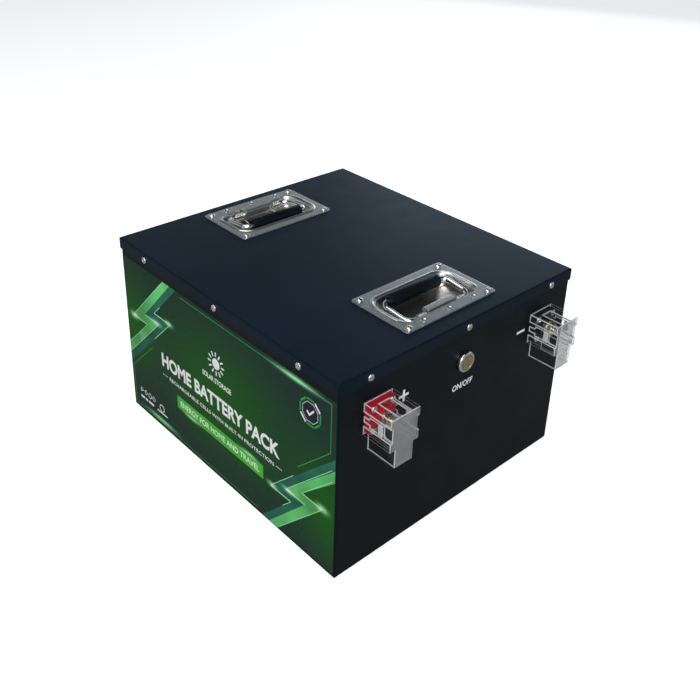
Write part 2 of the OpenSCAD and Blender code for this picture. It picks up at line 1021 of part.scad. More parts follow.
module lid_foam() {
    color([0.2, 0.2, 0.22])
        for (x = [-100, 30])
            box_at(
                [x, front_handle_y + 80, cell_stud_top + sheet_top_t],
                [x + 70, rear_handle_y - 50, lid_under_z]
            );
}

// Battery management unit on its bracket, in the bay behind the front face

module bms_bracket() {
    color([0.7, 0.72, 0.74])
        difference() {
            box_at([-bms_w / 2 - 14, bracket_y, 30], [bms_w / 2 + 14, bracket_y + bracket_t, 190]);
            for (sx = [-1, 1], z = [bms_low_z + 10, bms_low_z + bms_h - 10])
                rod_y([sx * (bms_w / 2 + 5), bracket_y - 1, z], 4, m4_hole_r);
        }
}

module bms_housing() {
    ear_t = 3;
    color([0.25, 0.26, 0.28])
        difference() {
            union() {
                box_at([-bms_w / 2, bms_y, bms_low_z], [bms_w / 2, bracket_y, bms_low_z + bms_h]);
                box_at(
                    [-bms_w / 2 - 10, bracket_y - ear_t, bms_low_z],
                    [bms_w / 2 + 10, bracket_y, bms_low_z + bms_h]
                );
            }
            // cooling fins on the front
            for (i = [0:15])
                translate([-bms_w / 2 + 8 + i * 12, bms_y - 1, bms_low_z - 1])
                    cube([5, 9, bms_h + 2]);
            for (sx = [-1, 1], z = [bms_low_z + 10, bms_low_z + bms_h - 10])
                rod_y([sx * (bms_w / 2 + 5), bracket_y - 5, z], 8, m4_hole_r);
        }
}

module bms_screws() {
    color([0.8, 0.8, 0.82])
        for (sx = [-1, 1], z = [bms_low_z + 10, bms_low_z + bms_h - 10])
            translate([sx * (bms_w / 2 + 5), bracket_y - 3, z])
                rotate([90, 0, 0])
                    pan_screw(3 + bracket_t);
}

module balance_plug() {
    color([0.9, 0.9, 0.85])
        box_at(
            [-20, bms_y + 4, bms_low_z + bms_h],
            [20, bracket_y - 8, bms_low_z + bms_h + 12]
        );
}

module balance_ribbon() {
    x = 13;
    up_y = bracket_y - 14;
    top_z = cell_stud_top + sheet_top_t;
    color([0.5, 0.5, 0.55])
        difference() {
            box_at([-x, up_y, bms_low_z + bms_h + 12], [x, front_row_y + 60, top_z + 1.6]);
            box_at([-x - 1, up_y + 1.6, 0], [x + 1, front_row_y + 61, top_z]);
        }
}

// Power cables: each runs from a lug to a lug inside the case

lug_drop = 16;
lug_y = front_y + sheet_t + spigot_l + lug_t / 2;
plus_pole = [cell_x(0), rear_row_y - pole_y, busbar_top_z + lug_t / 2];
minus_pole = [cell_x(0), front_row_y + pole_y, busbar_top_z + lug_t / 2];

module positive_cable() {
    color([0.7, 0.08, 0.08])
        cable([
            plus_pole + [-13, 0, 4.2],
            plus_pole + [-24, 0, 4.2],
            [-158, pack_front_y + 10, plus_pole[2] + 4.2],
            [-158, -110, plus_pole[2] + 4.2],
            [-158, -150, 170],
            [-terminal_x, -170, 140],
            [-terminal_x, lug_y + 4, 150],
            [-terminal_x, lug_y + 4, terminal_z - lug_drop]
        ], cable_r);
}

module pack_negative_cable() {
    color([0.08, 0.08, 0.09])
        cable([
            minus_pole + [0, -12, 4.2],
            minus_pole + [0, -30, 12],
            [cell_x(0), pack_front_y - 2, 222],
            [-112, -92, 200],
            [-92, bms_y - 6, 175],
            [-80, bms_y + 8, bms_low_z + bms_h]
        ], cable_r);
}

module load_negative_cable() {
    color([0.08, 0.08, 0.09])
        cable([
            [80, bms_y + 8, bms_low_z + bms_h],
            [88, bms_y - 2, 172],
            [110, -140, 172],
            [terminal_x, -170, 150],
            [terminal_x, lug_y + 4, 150],
            [terminal_x, lug_y + 4, terminal_z - lug_drop]
        ], cable_r);
}

module lug(hole_r) {
    difference() {
        union() {
            cylinder(h = lug_t, r = hole_r + 4.2);
            translate([0, -4, 0])
                cube([lug_drop, 8, lug_t]);
        }
        translate([0, 0, -1])
            cylinder(h = 6, r = hole_r);
    }
}

module cable_lugs() {
    color([0.8, 0.78, 0.72])
        union() {
            for (side = [-1, 1])
                terminal_frame(side)
                    translate([0, 0, inner_lug_z])
                        rotate([0, 0, -90])
                            lug(stud_hole_r + 0.1);
            translate([plus_pole[0], plus_pole[1], busbar_top_z])
                rotate([0, 0, 180])
                    lug(m6_r + 0.2);
            translate([minus_pole[0], minus_pole[1], busbar_top_z])
                rotate([0, 0, -90])
                    lug(m6_r + 0.2);
        }
}

module button_leads() {
    color([0.6, 0.1, 0.1])
        for (s = [-1, 1])
            cable([
                [s * 4.5, front_y + barrel_l + 16, button_z - 4],
                [s * 4.5, front_y + barrel_l + 30, button_z - 20],
                [s * 40, bms_y + 8, bms_low_z + bms_h + 20],
                [s * 40, bms_y + 8, bms_low_z + bms_h]
            ], lead_r);
}

case_shell();
lid_cover();
lid_seal();
lid_screws();
lid_clinch_nuts();
side_label();
handle_frame(front_handle_y) handle_plate();  // front_handle_plate
handle_frame(front_handle_y) handle_bail();  // front_handle_bail
handle_frame(front_handle_y) handle_grip();  // front_handle_grip
handle_frame(front_handle_y) hinge_knuckle();  // front_hinge_knuckle
handle_frame(front_handle_y) return_springs();  // front_return_springs
handle_frame(front_handle_y) hinge_rivets();  // front_hinge_rivets
handle_frame(rear_handle_y) handle_plate();  // rear_handle_plate
handle_frame(rear_handle_y) handle_bail();  // rear_handle_bail
handle_frame(rear_handle_y) handle_grip();  // rear_handle_grip
handle_frame(rear_handle_y) hinge_knuckle();  // rear_hinge_knuckle
handle_frame(rear_handle_y) return_springs();  // rear_return_springs
handle_frame(rear_handle_y) hinge_rivets();  // rear_hinge_rivets
handle_screws();
handle_lock_nuts();
button_body();
button_cap();
button_spring();
button_seal();
button_nut();
button_switch_block();
terminal_base(-1, [0.65, 0.05, 0.08]);  // positive_terminal_base
terminal_base(1, [0.05, 0.05, 0.05]);  // negative_terminal_base
terminal_studs();
terminal_washers();
terminal_nuts();
terminal_base_screws();
terminal_base_nuts();
terminal_cover(-1);  // positive_terminal_cover
terminal_cover(1);  // negative_terminal_cover
front_markings();
bottom_pad();
cell_row(front_row_y);  // front_cell_row
cell_row(rear_row_y);  // rear_cell_row
cell_separators();
row_divider();
end_plates();
pack_straps();
busbars();
busbar_nuts();
top_insulation();
side_foam();
rear_foam();
lid_foam();
bms_housing();
bms_bracket();
bms_screws();
balance_plug();
balance_ribbon();
positive_cable();
pack_negative_cable();
load_negative_cable();
cable_lugs();
button_leads();
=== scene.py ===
"""The looks of the battery pack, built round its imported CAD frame. Metres, +Z up."""

import json
import math

import bmesh
import bpy
from mathutils import Matrix, Vector


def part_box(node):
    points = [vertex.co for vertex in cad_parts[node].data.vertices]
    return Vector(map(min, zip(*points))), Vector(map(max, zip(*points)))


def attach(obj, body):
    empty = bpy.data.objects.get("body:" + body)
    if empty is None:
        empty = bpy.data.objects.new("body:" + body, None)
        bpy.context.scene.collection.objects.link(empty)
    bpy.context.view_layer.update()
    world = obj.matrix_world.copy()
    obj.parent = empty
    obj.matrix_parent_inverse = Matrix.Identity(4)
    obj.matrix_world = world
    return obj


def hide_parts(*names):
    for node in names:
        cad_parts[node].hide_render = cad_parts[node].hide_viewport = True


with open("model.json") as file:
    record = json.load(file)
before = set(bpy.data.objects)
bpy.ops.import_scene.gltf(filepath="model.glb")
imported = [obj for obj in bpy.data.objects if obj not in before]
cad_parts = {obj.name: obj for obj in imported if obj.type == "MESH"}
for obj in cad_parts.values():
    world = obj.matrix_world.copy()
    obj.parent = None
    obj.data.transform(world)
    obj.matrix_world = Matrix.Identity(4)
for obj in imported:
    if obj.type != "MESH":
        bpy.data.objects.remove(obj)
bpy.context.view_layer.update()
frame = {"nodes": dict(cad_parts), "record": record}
nodes = frame["nodes"]

MM = 0.001
QUARTERS = ((1, 1), (-1, 1), (-1, -1), (1, -1))


def in_scene(name, data):
    """A new object in the scene, holding a mesh, a light, a camera or a text."""
    made = bpy.data.objects.new(name, data)
    bpy.context.scene.collection.objects.link(made)
    return made


# ---------------------------------------------------------------- camera, lights and floor

SKY_LOW = 0.95
SKY_HIGH = 0.04
SKY_TOP = 0.6
SKY_COLOR = (0.76, 0.90, 1.0)
WHITE = (1, 1, 1)
FLOOR_HALF = 6.0
FLOOR_Z = -0.4 * MM
FLOOR_COLOR = (0.93, 0.93, 0.93)
FLOOR_GLOW = 0.62
FLOOR_REFLECTED = (0.42, 0.40, 0.36)
LIT_POINT = (0, 0, 0.15)


def make_camera():
    """The camera stands in front of the left corner, above the lid."""
    place = Vector((-0.6464, -0.7046, 0.7323))
    looking = Vector((0.6135, 0.6554, -0.4405)).normalized()
    roll = math.radians(1.82)
    data = bpy.data.cameras.new("camera")
    data.lens = 46.66
    data.sensor_width = 36
    data.shift_y = -0.16
    camera = in_scene("camera", data)
    camera.rotation_mode = "QUATERNION"
    turn = looking.to_track_quat("-Z", "Y") @ Matrix.Rotation(roll, 4, "Z").to_quaternion()
    camera.rotation_quaternion = turn
    camera.location = place
    bpy.context.scene.camera = camera


def add_softbox(name, place, width, height, power, color=WHITE):
    """A rectangular soft light that faces the middle of the pack."""
    data = bpy.data.lights.new(name, "AREA")
    data.shape = "RECTANGLE"
    data.size = width
    data.size_y = height
    data.energy = power
    data.color = color
    light = in_scene(name, data)
    light.location = place
    aim = Vector(LIT_POINT) - Vector(place)
    light.rotation_mode = "QUATERNION"
    light.rotation_quaternion = aim.to_track_quat("-Z", "Y")


def make_surround():
    """White to the camera. In reflections, a cool sky that is brightest near the horizon."""
    world = bpy.data.worlds.new("surround")
    world.use_nodes = True
    bpy.context.scene.world = world
    tree = world.node_tree
    tree.nodes.clear()

    def node(kind, *inputs):
        made = tree.nodes.new(kind)
        for socket, value in inputs:
            if isinstance(value, bpy.types.NodeSocket):
                tree.links.new(value, made.inputs[socket])
            else:
                made.inputs[socket].default_value = value
        return made

    way = node("ShaderNodeSeparateXYZ", (0, node("ShaderNodeTexCoord").outputs["Generated"]))
    height = node(
        "ShaderNodeMapRange", ("Value", way.outputs["Z"]),
        ("From Min", -0.02), ("From Max", SKY_TOP), ("To Min", SKY_LOW), ("To Max", SKY_HIGH),
    )
    sky = node("ShaderNodeBackground", ("Color", (*SKY_COLOR, 1)), ("Strength", height.outputs[0]))
    seen = node("ShaderNodeBackground", ("Color", (*WHITE, 1)))
    path = node("ShaderNodeLightPath")
    direct = node("ShaderNodeMath", (0, path.outputs["Is Camera Ray"]),
                  (1, path.outputs["Is Transmission Ray"]))
    pick = node("ShaderNodeMixShader", (0, direct.outputs[0]), (1, sky.outputs[0]),
                (2, seen.outputs[0]))
    node("ShaderNodeOutputWorld", ("Surface", pick.outputs[0]))


def make_floor():
    """A plain pale floor, darker in reflections so that the black faces stay black."""
    mesh = bpy.data.meshes.new("floor")
    corners = [(x * FLOOR_HALF, y * FLOOR_HALF, FLOOR_Z) for x, y in QUARTERS]
    mesh.from_pydata(corners, [], [(0, 1, 2, 3)])
    floor = in_scene("floor", mesh)
    paint = Finish("floor_paint", FLOOR_COLOR, 0.7, specular=0.0)
    seen = paint.node("ShaderNodeLightPath").outputs["Is Camera Ray"]
    paint.put("Base Color", paint.blend(seen, FLOOR_REFLECTED, FLOOR_COLOR))
    paint.put("Roughness", paint.spread(paint.noise(0.4), 0.65, 0.75))
    paint.put("Emission Color", (*WHITE, 1))
    paint.put("Emission Strength", paint.math("MULTIPLY", seen, FLOOR_GLOW))
    floor.data.materials.append(paint.material)


def make_lights():
    """A key light from the left, a cool one from behind and a broad one overhead."""
    bpy.context.scene.view_settings.view_transform = "Standard"
    add_softbox("key_light", (-1.5, -1.6, 1.5), 1.5, 1.2, 40)
    add_softbox("back_light", (2.3, 1.3, 0.75), 1.5, 0.7, 7, (0.72, 0.88, 1))
    add_softbox("top_light", (-0.4, 0.1, 2.1), 1.7, 1.2, 18)


# ---------------------------------------------------------------- materials

EVEN = (1, 1, 1)
STEEL_GRAIN = (1, 7, 1)


class Finish:
    """A node material under construction, round one Principled shader."""

    def __init__(self, name, color, roughness, metallic=0.0, specular=0.5):
        self.material = bpy.data.materials.new(name)
        self.material.use_nodes = True
        self.tree = self.material.node_tree
        self.tree.nodes.clear()
        self.shader = self.node("ShaderNodeBsdfPrincipled")
        out = self.node("ShaderNodeOutputMaterial")
        self.tree.links.new(self.shader.outputs[0], out.inputs["Surface"])
        self.where = self.node("ShaderNodeTexCoord").outputs["Object"]
        self.put("Base Color", (*color, 1))
        self.put("Roughness", roughness)
        self.put("Metallic", metallic)
        self.put("Specular IOR Level", specular)

    def node(self, kind, **settings):
        made = self.tree.nodes.new(kind)
        for key, value in settings.items():
            setattr(made, key, value)
        return made

    def feed(self, socket, value):
        """Sets a socket, or links it where the value is another node's output."""
        if isinstance(value, bpy.types.NodeSocket):
            self.tree.links.new(value, socket)
        else:
            socket.default_value = value

    def put(self, name, value):
        self.feed(self.shader.inputs[name], value)

    def math(self, operation, a, b=0.0, clamp=False):
        made = self.node("ShaderNodeMath", operation=operation, use_clamp=clamp)
        self.feed(made.inputs[0], a)
        self.feed(made.inputs[1], b)
        return made.outputs[0]

    def axis(self, name):
        """The place's x, y or z, in metres."""
        made = self.node("ShaderNodeSeparateXYZ")
        self.feed(made.inputs[0], self.where)
        return made.outputs[name]

    def noise(self, size, detail=3.0, stretch=EVEN):
        """Noise from 0 to 1 whose blobs are about that size, longer where stretched."""
        scaled = self.node("ShaderNodeMapping")
        scaled.inputs["Scale"].default_value = [1 / (size * s) for s in stretch]
        self.feed(scaled.inputs["Vector"], self.where)
        made = self.node("ShaderNodeTexNoise")
        made.inputs["Scale"].default_value = 1
        made.inputs["Detail"].default_value = detail
        self.feed(made.inputs["Vector"], scaled.outputs[0])
        return made.outputs["Fac"]

    def spread(self, value, low, high, value_low=0.3, value_high=0.7):
        """Carries a value's range over to low..high."""
        made = self.node("ShaderNodeMapRange")
        self.feed(made.inputs["Value"], value)
        made.inputs["From Min"].default_value = value_low
        made.inputs["From Max"].default_value = value_high
        made.inputs["To Min"].default_value = low
        made.inputs["To Max"].default_value = high
        return made.outputs[0]

    def blend(self, factor, a, b):
        """The colour a, or b where the factor is 1."""
        made = self.node("ShaderNodeMix", data_type="RGBA")
        self.feed(made.inputs[0], factor)
        for socket, value in ((made.inputs[6], a), (made.inputs[7], b)):
            self.feed(socket, value if isinstance(value, bpy.types.NodeSocket) else (*value, 1))
        return made.outputs[2]

    def bumps(self, *layers):
        """Adds relief: each layer is a height from 0 to 1 and its depth in metres."""
        normal = None
        for height, depth in layers:
            made = self.node("ShaderNodeBump")
            made.inputs["Distance"].default_value = depth
            made.inputs["Strength"].default_value = 1
            self.feed(made.inputs["Height"], height)
            if normal is not None:
                self.feed(made.inputs["Normal"], normal)
            normal = made.outputs[0]
        self.put("Normal", normal)

    def edges(self, radius):
        """1 on sharp outer edges, 0 away from them."""
        rounded = self.node("ShaderNodeBevel", samples=4)
        rounded.inputs["Radius"].default_value = radius
        plain = self.node("ShaderNodeNewGeometry").outputs["Normal"]
        made = self.node("ShaderNodeVectorMath", operation="DOT_PRODUCT")
        self.feed(made.inputs[0], rounded.outputs[0])
        self.feed(made.inputs[1], plain)
        return self.spread(made.outputs["Value"], 1, 0, 0.8, 0.99)

    def glow(self, at, size):
        """1 at a spot on the side label, fading out over size = (along Y, along Z)."""
        dy = self.math("DIVIDE", self.math("SUBTRACT", self.axis("Y"), at[0]), size[0])
        dz = self.math("DIVIDE", self.math("SUBTRACT", self.axis("Z"), at[1]), size[1])
        square = self.math("ADD", self.math("POWER", dy, 2), self.math("POWER", dz, 2))
        return self.math("EXPONENT", self.math("MULTIPLY", square, -1))


def powder_coat(name, color):
    """Satin powder coat: fine grit, a faint orange peel, and paler edges that are partly rubbed wear
    and partly a painted highlight.
    """
    made = Finish(name, color, 0.42, specular=0.3)
    made.put("IOR", 1.28)
    # Paler colour along the sharp edges, made patchy by noise: partly rubbed wear, partly a painted
    # edge highlight.
    paler_worn_and_highlit = [c * 2.2 + 0.010 for c in color]
    patchy = [c * 1.35 for c in color]
    cloud = made.blend(made.spread(made.noise(0.09, 4), 0, 1), color, patchy)
    rubbed_and_highlit_edges = made.math("MULTIPLY", made.edges(0.0009), made.spread(made.noise(0.012), 0.1, 0.8))
    made.put("Base Color", made.blend(rubbed_and_highlit_edges, cloud, paler_worn_and_highlit))
    made.put("Roughness", made.spread(made.noise(0.03, 5), 0.32, 0.42))
    made.bumps((made.noise(0.0026, 2), 0.00004), (made.noise(0.0005, 1), 0.00003))
    return made.material


def plated_metal(name, color, low, high, grain=0.004, stretch=EVEN, depth=0.000008):
    """Plated or drawn metal with a worn, slightly uneven shine."""
    made = Finish(name, color, low, metallic=1.0)
    duller = [c * 0.86 for c in color]
    made.put("Base Color", made.blend(made.spread(made.noise(0.011, 4), 0, 1), color, duller))
    made.put("Roughness", made.spread(made.noise(grain, 4, stretch), low, high))
    if depth:
        made.bumps((made.noise(grain, 2, stretch), depth))
    return made.material


def moulded(name, color, roughness, grain=0.0006, depth=0.00003, specular=0.5):
    """Moulded plastic, rubber or foam with a fine spark-eroded grain."""
    made = Finish(name, color, roughness, specular=specular)
    faded = [min(1, c * 1.25 + 0.001) for c in color]
    made.put("Base Color", made.blend(made.spread(made.noise(0.02, 4), 0, 1), color, faded))
    made.put("Roughness", made.spread(made.noise(0.006), roughness * 0.85, roughness * 1.15))
    made.bumps((made.noise(grain, 2), depth))
    return made.material


def clear_plastic(name, color, roughness, veil, shine, metallic=0.0):
    """Clear plastic: a pale veil with flow marks, and a shine that grows at glancing views."""
    made = Finish(name, color, roughness, metallic=metallic)
    facing = made.node("ShaderNodeLayerWeight").outputs["Facing"]
    glancing = made.math("MULTIPLY", made.math("POWER", facing, 5), shine)
    flow = made.spread(made.noise(0.02, 2), veil * 0.9, veil * 1.1)
    made.put("Alpha", made.math("ADD", glancing, flow, clamp=True))
    made.put("Roughness", made.spread(made.noise(0.008), roughness * 0.7, roughness * 1.3))
    return made.material


def spun_metal(name, color, axis):
    """Metal with a spun finish round an axis of the piece."""
    made = Finish(name, color, 0.3, metallic=1.0)
    made.put("Anisotropic", 0.85)
    tangent = made.node("ShaderNodeTangent", direction_type="RADIAL", axis=axis)
    made.put("Tangent", tangent.outputs[0])
    warm = [c * 0.7 for c in color]
    made.put("Base Color", made.blend(made.spread(made.noise(0.004, 3), 0, 1), color, warm))
    made.put("Roughness", made.spread(made.noise(0.003, 3), 0.22, 0.36))
    return made.material


# Each record slot's finish: the function that makes it and what it is given after the name.
RECIPES = {
    "case_powder_coat": (powder_coat, (0.0026, 0.0050, 0.0072)),
    "lid_powder_coat": (powder_coat, (0.0018, 0.0078, 0.0165)),
    "foam_rubber": (moulded, (0.02, 0.02, 0.02), 0.9, 0.0008, 0.0001),
    "zinc_screw": (plated_metal, (0.80, 0.79, 0.77), 0.16, 0.3, 0.002),
    "zinc_nut": (plated_metal, (0.62, 0.63, 0.64), 0.25, 0.4, 0.002),
    "handle_plate_steel": (plated_metal, (0.70, 0.675, 0.64), 0.26, 0.33, 0.0012, STEEL_GRAIN, 0),
    "handle_wire_chrome": (plated_metal, (0.88, 0.87, 0.85), 0.1, 0.17, 0.004, EVEN, 0),
    "grip_rubber": (moulded, (0.002, 0.0035, 0.0065), 0.45, 0.0007, 0.00003, 0.1),
    "spring_steel": (plated_metal, (0.66, 0.65, 0.62), 0.18, 0.3, 0.002),
    "button_chrome": (plated_metal, (0.72, 0.70, 0.66), 0.1, 0.18),
    "button_nickel": (spun_metal, (0.56, 0.47, 0.34), "Z"),
    "black_plastic": (moulded, (0.010, 0.012, 0.016), 0.4),
    "red_plastic": (moulded, (0.42, 0.006, 0.022), 0.38),
    "white_plastic": (moulded, (0.72, 0.72, 0.68), 0.45),
    "terminal_nickel": (plated_metal, (0.74, 0.69, 0.58), 0.2, 0.34, 0.002),
    "clear_cover": (clear_plastic, (0.95, 0.96, 0.97), 0.06, 0.025, 0.8, 1.0),
    "white_print": (moulded, (0.85, 0.86, 0.85), 0.5),
    "foam_board": (moulded, (0.035, 0.035, 0.04), 0.92, 0.0012, 0.0001),
    "cell_sleeve": (moulded, (0.02, 0.10, 0.36), 0.3, 0.004, 0.00002),
    "insulation_board": (moulded, (0.42, 0.46, 0.26), 0.6),
    "alloy_plate": (plated_metal, (0.70, 0.71, 0.72), 0.32, 0.46, 0.003),
    "strap_steel": (plated_metal, (0.5, 0.5, 0.51), 0.3, 0.45, 0.003),
    "tinned_busbar": (plated_metal, (0.74, 0.74, 0.73), 0.25, 0.4, 0.003),
    "black_alloy": (plated_metal, (0.035, 0.037, 0.04), 0.4, 0.55, 0.002),
    "ribbon_jacket": (moulded, (0.25, 0.25, 0.27), 0.5),
    "red_jacket": (moulded, (0.4, 0.01, 0.012), 0.45),
    "black_jacket": (moulded, (0.012, 0.012, 0.013), 0.45),
}
FINISHES = {name: make(name, *values) for name, (make, *values) in RECIPES.items()}
# A brighter, bluer copy of the plate steel: the smoother polish is real, and the brighter, bluer
# colour paints lit, bluish reflections on the pan and the rivets.
PLATE_POLISHED_LIT_COPY = plated_metal("plate_bright", (0.76, 0.81, 0.86), 0.1, 0.17, depth=0)
# The whitish, half-opaque cover-edge finish is a painted highlight along the clear plastic's edges.
CLEAR_EDGE_HIGHLIGHT = clear_plastic("clear_cover_edge_highlight", (0.66, 0.68, 0.68), 0.25, 0.78, 0.3)
CLEAR_FROSTED = clear_plastic("clear_cover_frosted", (0.36, 0.37, 0.375), 0.45, 0.5, 0.3)

# ---------------------------------------------------------------- mesh building


def object_from(name, working):
    """A new object from a working mesh, which is then freed."""
    mesh = bpy.data.meshes.new(name)
    working.to_mesh(mesh)
    working.free()
    return in_scene(name, mesh)


def turns(sides):
    """The angles of a full turn cut into equal steps."""
    return [2 * math.pi * k / sides for k in range(sides)]


def level_ring(radius, height, sides):
    """A circle of points round the local Z axis."""
    return [(radius * math.cos(a), radius * math.sin(a), height) for a in turns(sides)]


class Solid:
    """Collects closed shapes into one mesh, each placed by the matrix of the moment."""

    def __init__(self):
        self.mesh = bmesh.new()
        self.place = Matrix.Identity(4)

    def point(self, p):
        return self.mesh.verts.new(self.place @ Vector(p))

    def skin(self, rings, closed=False):
        """Faces between rings of points. The ends are capped unless the rings close up."""
        made = [[self.point(p) for p in ring] for ring in rings]
        pairs = list(zip(made, made[1:]))
        if closed:
            pairs.append((made[-1], made[0]))
        for a, b in pairs:
            if len(a) == 1 and len(b) == 1:
                continue
            count = max(len(a), len(b))
            for k in range(count):
                after = (k + 1) % count
                corners = [a[k % len(a)], a[after % len(a)], b[after % len(b)], b[k % len(b)]]
                unique = list(dict.fromkeys(corners))
                if len(unique) > 2:
                    self.mesh.faces.new(unique)
        if not closed:
            for ring in (made[0], made[-1]):
                if len(ring) > 2:
                    self.mesh.faces.new(ring)

    def lathe(self, profile, sides=40, closed=False):
        """Turns (radius, height) points round local +Z."""
        self.skin([level_ring(r, h, sides) if r else [(0, 0, h)] for r, h in profile], closed)

    def tube(self, path, radius, sides):
        """A round bar along a path, with slightly rounded ends."""
        path = [Vector(p) for p in path]
        trim = radius * 0.35
        side = None
        rings = []
        last = len(path) - 1
        for i, p in enumerate(path):
            ahead = (path[min(i + 1, last)] - path[max(i - 1, 0)]).normalized()
            if side is None:
                side = ahead.orthogonal().normalized()
            side = (side - side.dot(ahead) * ahead).normalized()
            other = ahead.cross(side)
            stops = [(radius, p)]
            if i == 0:
                stops = [(radius - trim, p), (radius, p + ahead * trim)]
            elif i == last:
                stops = [(radius, p - ahead * trim), (radius - trim, p)]
            for r, middle in stops:
                rings.append([middle + r * (math.cos(a) * side + math.sin(a) * other)
                              for a in turns(sides)])
        self.skin(rings)

    def slab(self, outline, low, high):
        """An outline in local XY, extruded from low to high."""
        self.skin([[(x, y, h) for x, y in outline] for h in (low, high)])

    def block(self, low, high):
        """A block between two corners."""
        self.slab(rectangle(low, high), low[2], high[2])

    def build(self, name):
        """The collected shapes as a plain object."""
        bmesh.ops.recalc_face_normals(self.mesh, faces=self.mesh.faces)
        return object_from(name, self.mesh)

    def finish(self, name, body, slot, *replaced, finishes=None, smooth=35):
        """Makes the piece: its mesh, its finish, the body it rides on and what it replaces."""
        return dress(self.build(name), body, slot, *replaced, finishes=finishes, smooth=smooth)

    def stand_in(self, node, body, slot, finishes=None, smooth=35):
        """Makes the piece that stands for one CAD node."""
        return self.finish(node + "_piece", body, slot, node, finishes=finishes, smooth=smooth)


def smoothed(piece, smooth=35):
    """Smooth shading, with edges sharper than that angle kept."""
    piece.data.shade_smooth()
    piece.data.set_sharp_from_angle(angle=math.radians(smooth))


def dress(piece, body, slot, *replaced, finishes=None, smooth=35):
    """Gives a piece its finish, its shading, its body and the CAD nodes it stands for."""
    piece.data.materials.clear()
    for material in finishes or [FINISHES[slot]]:
        piece.data.materials.append(material)
    smoothed(piece, smooth)
    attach(piece, body)
    if replaced:
        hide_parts(*replaced)
    return piece


def bevelled(piece, width, segments=2, angle=30, edge_finish=-1):
    """Rounds a piece's edges. An edge finish is the number of the material they take."""
    made = piece.modifiers.new("rounded edges", "BEVEL")
    made.width = width
    made.segments = segments
    made.limit_method = "ANGLE"
    made.angle_limit = math.radians(angle)
    made.material = edge_finish
    made.use_clamp_overlap = edge_finish < 0
    made.harden_normals = True


def copy_of(node, name):
    """A clean copy of a CAD node's mesh: joined points, flat faces in one piece."""
    mesh = bmesh.new()
    mesh.from_mesh(nodes[node].data)
    bmesh.ops.remove_doubles(mesh, verts=mesh.verts, dist=0.002 * MM)
    flat = math.radians(0.5)
    bmesh.ops.dissolve_limit(mesh, angle_limit=flat, verts=mesh.verts, edges=mesh.edges)
    return object_from(name, mesh)


def arc(center, radius, start, end, steps):
    """Points on an arc in a plane, angles in degrees."""
    turns = [math.radians(start + (end - start) * k / steps) for k in range(steps + 1)]
    return [(center[0] + radius * math.cos(a), center[1] + radius * math.sin(a)) for a in turns]


def between(start, end, steps):
    """The points that cut a straight side into steps, without its ends."""
    parts = [k / steps for k in range(1, steps)]
    return [tuple(a + (b - a) * t for a, b in zip(start, end)) for t in parts]


def rounded_rect(half_x, half_y, radius, center=(0, 0), corner_steps=8, side_steps=1):
    """An outline with round corners, starting on the right side and turning left."""
    corners = []
    for k, (sx, sy) in enumerate(QUARTERS):
        middle = (center[0] + sx * (half_x - radius), center[1] + sy * (half_y - radius))
        corners.append(arc(middle, radius, 90 * k, 90 * (k + 1), corner_steps))
    points = []
    for corner, after in zip(corners, corners[1:] + corners[:1]):
        points += corner + between(corner[-1], after[0], side_steps)
    return points


def rectangle(low, high):
    """The outline of a rectangle between two corners."""
    return [(low[0], low[1]), (high[0], low[1]), (high[0], high[1]), (low[0], high[1])]


def circle(radius, center=(0, 0), sides=32):
    return arc(center, radius, 0, 360 * (sides - 1) / sides, sides - 1)


# ---------------------------------------------------------------- places, from the CAD boxes


def box_middle(node):
    low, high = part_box(node)
    return (low + high) / 2


FRONT_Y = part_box("button_seal")[1].y
LID_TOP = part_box("lid_cover")[1].z
PLATE_T = 1.2 * MM
PLATE_TOP = LID_TOP + PLATE_T
PLATE_Y = {side: box_middle(side + "_handle_plate").y for side in ("front", "rear")}
TERMINAL_X = {side: box_middle(side + "_terminal_base").x for side in ("positive", "negative")}
TERMINAL_Z = box_middle("positive_terminal_base").z
BUTTON = box_middle("button_seal")


def handle_place(side):
    """A handle's own frame: +Y points from the hinge to the grip, +Z up from the plate."""
    turn = Matrix.Rotation(math.pi if side == "rear" else 0, 4, "Z")
    return Matrix.Translation((0, PLATE_Y[side], PLATE_TOP)) @ turn


def front_place(x, z):
    """A frame on the front face: +Z points out of it and +Y up."""
    return Matrix.Translation((x, FRONT_Y, z)) @ Matrix.Rotation(math.pi / 2, 4, "X")


# ---------------------------------------------------------------- screws, nuts and studs

SCREW_R = 4.0 * MM
SCREW_H = 2.5 * MM
SCREW_RIM_H = 0.9 * MM
SCREW_SIDES = 36
SHANK_R = 1.9 * MM
CROSS_ARM = 2.2 * MM
CROSS_HALF = 0.55 * MM
CROSS_DEEP = 1.5 * MM
SKIRT_SPREAD = 141.5 * MM
SKIRT_SHANK = 6 * MM
HANDLE_SCREW = (61.75 * MM, 37 * MM)
HANDLE_SHANK = 7 * MM
BASE_SCREW = 12.6 * MM
BASE_T = 8 * MM
BASE_SHANK = 14 * MM


def screw_head(solid):
    """A domed head on z = 0 with a tapered cross recess."""
    dome = [(SCREW_R - 0.15 * MM, 0), (SCREW_R, 0.25 * MM), (SCREW_R, SCREW_RIM_H)]
    steps = 7
    for k in range(1, steps):
        a = math.radians(90 * k / steps)
        height = SCREW_RIM_H + (SCREW_H - SCREW_RIM_H) * math.sin(a)
        dome.append((SCREW_R * math.cos(a * 0.92), height))
    rings = [level_ring(r, h, SCREW_SIDES) for r, h in dome]
    for grow, deep in ((0.12 * MM, 0), (0, 0.2 * MM), (-0.3 * MM, CROSS_DEEP)):
        rings.append(cross_ring(CROSS_ARM + grow, CROSS_HALF + grow * 0.6, SCREW_H - deep))
    solid.skin(rings)


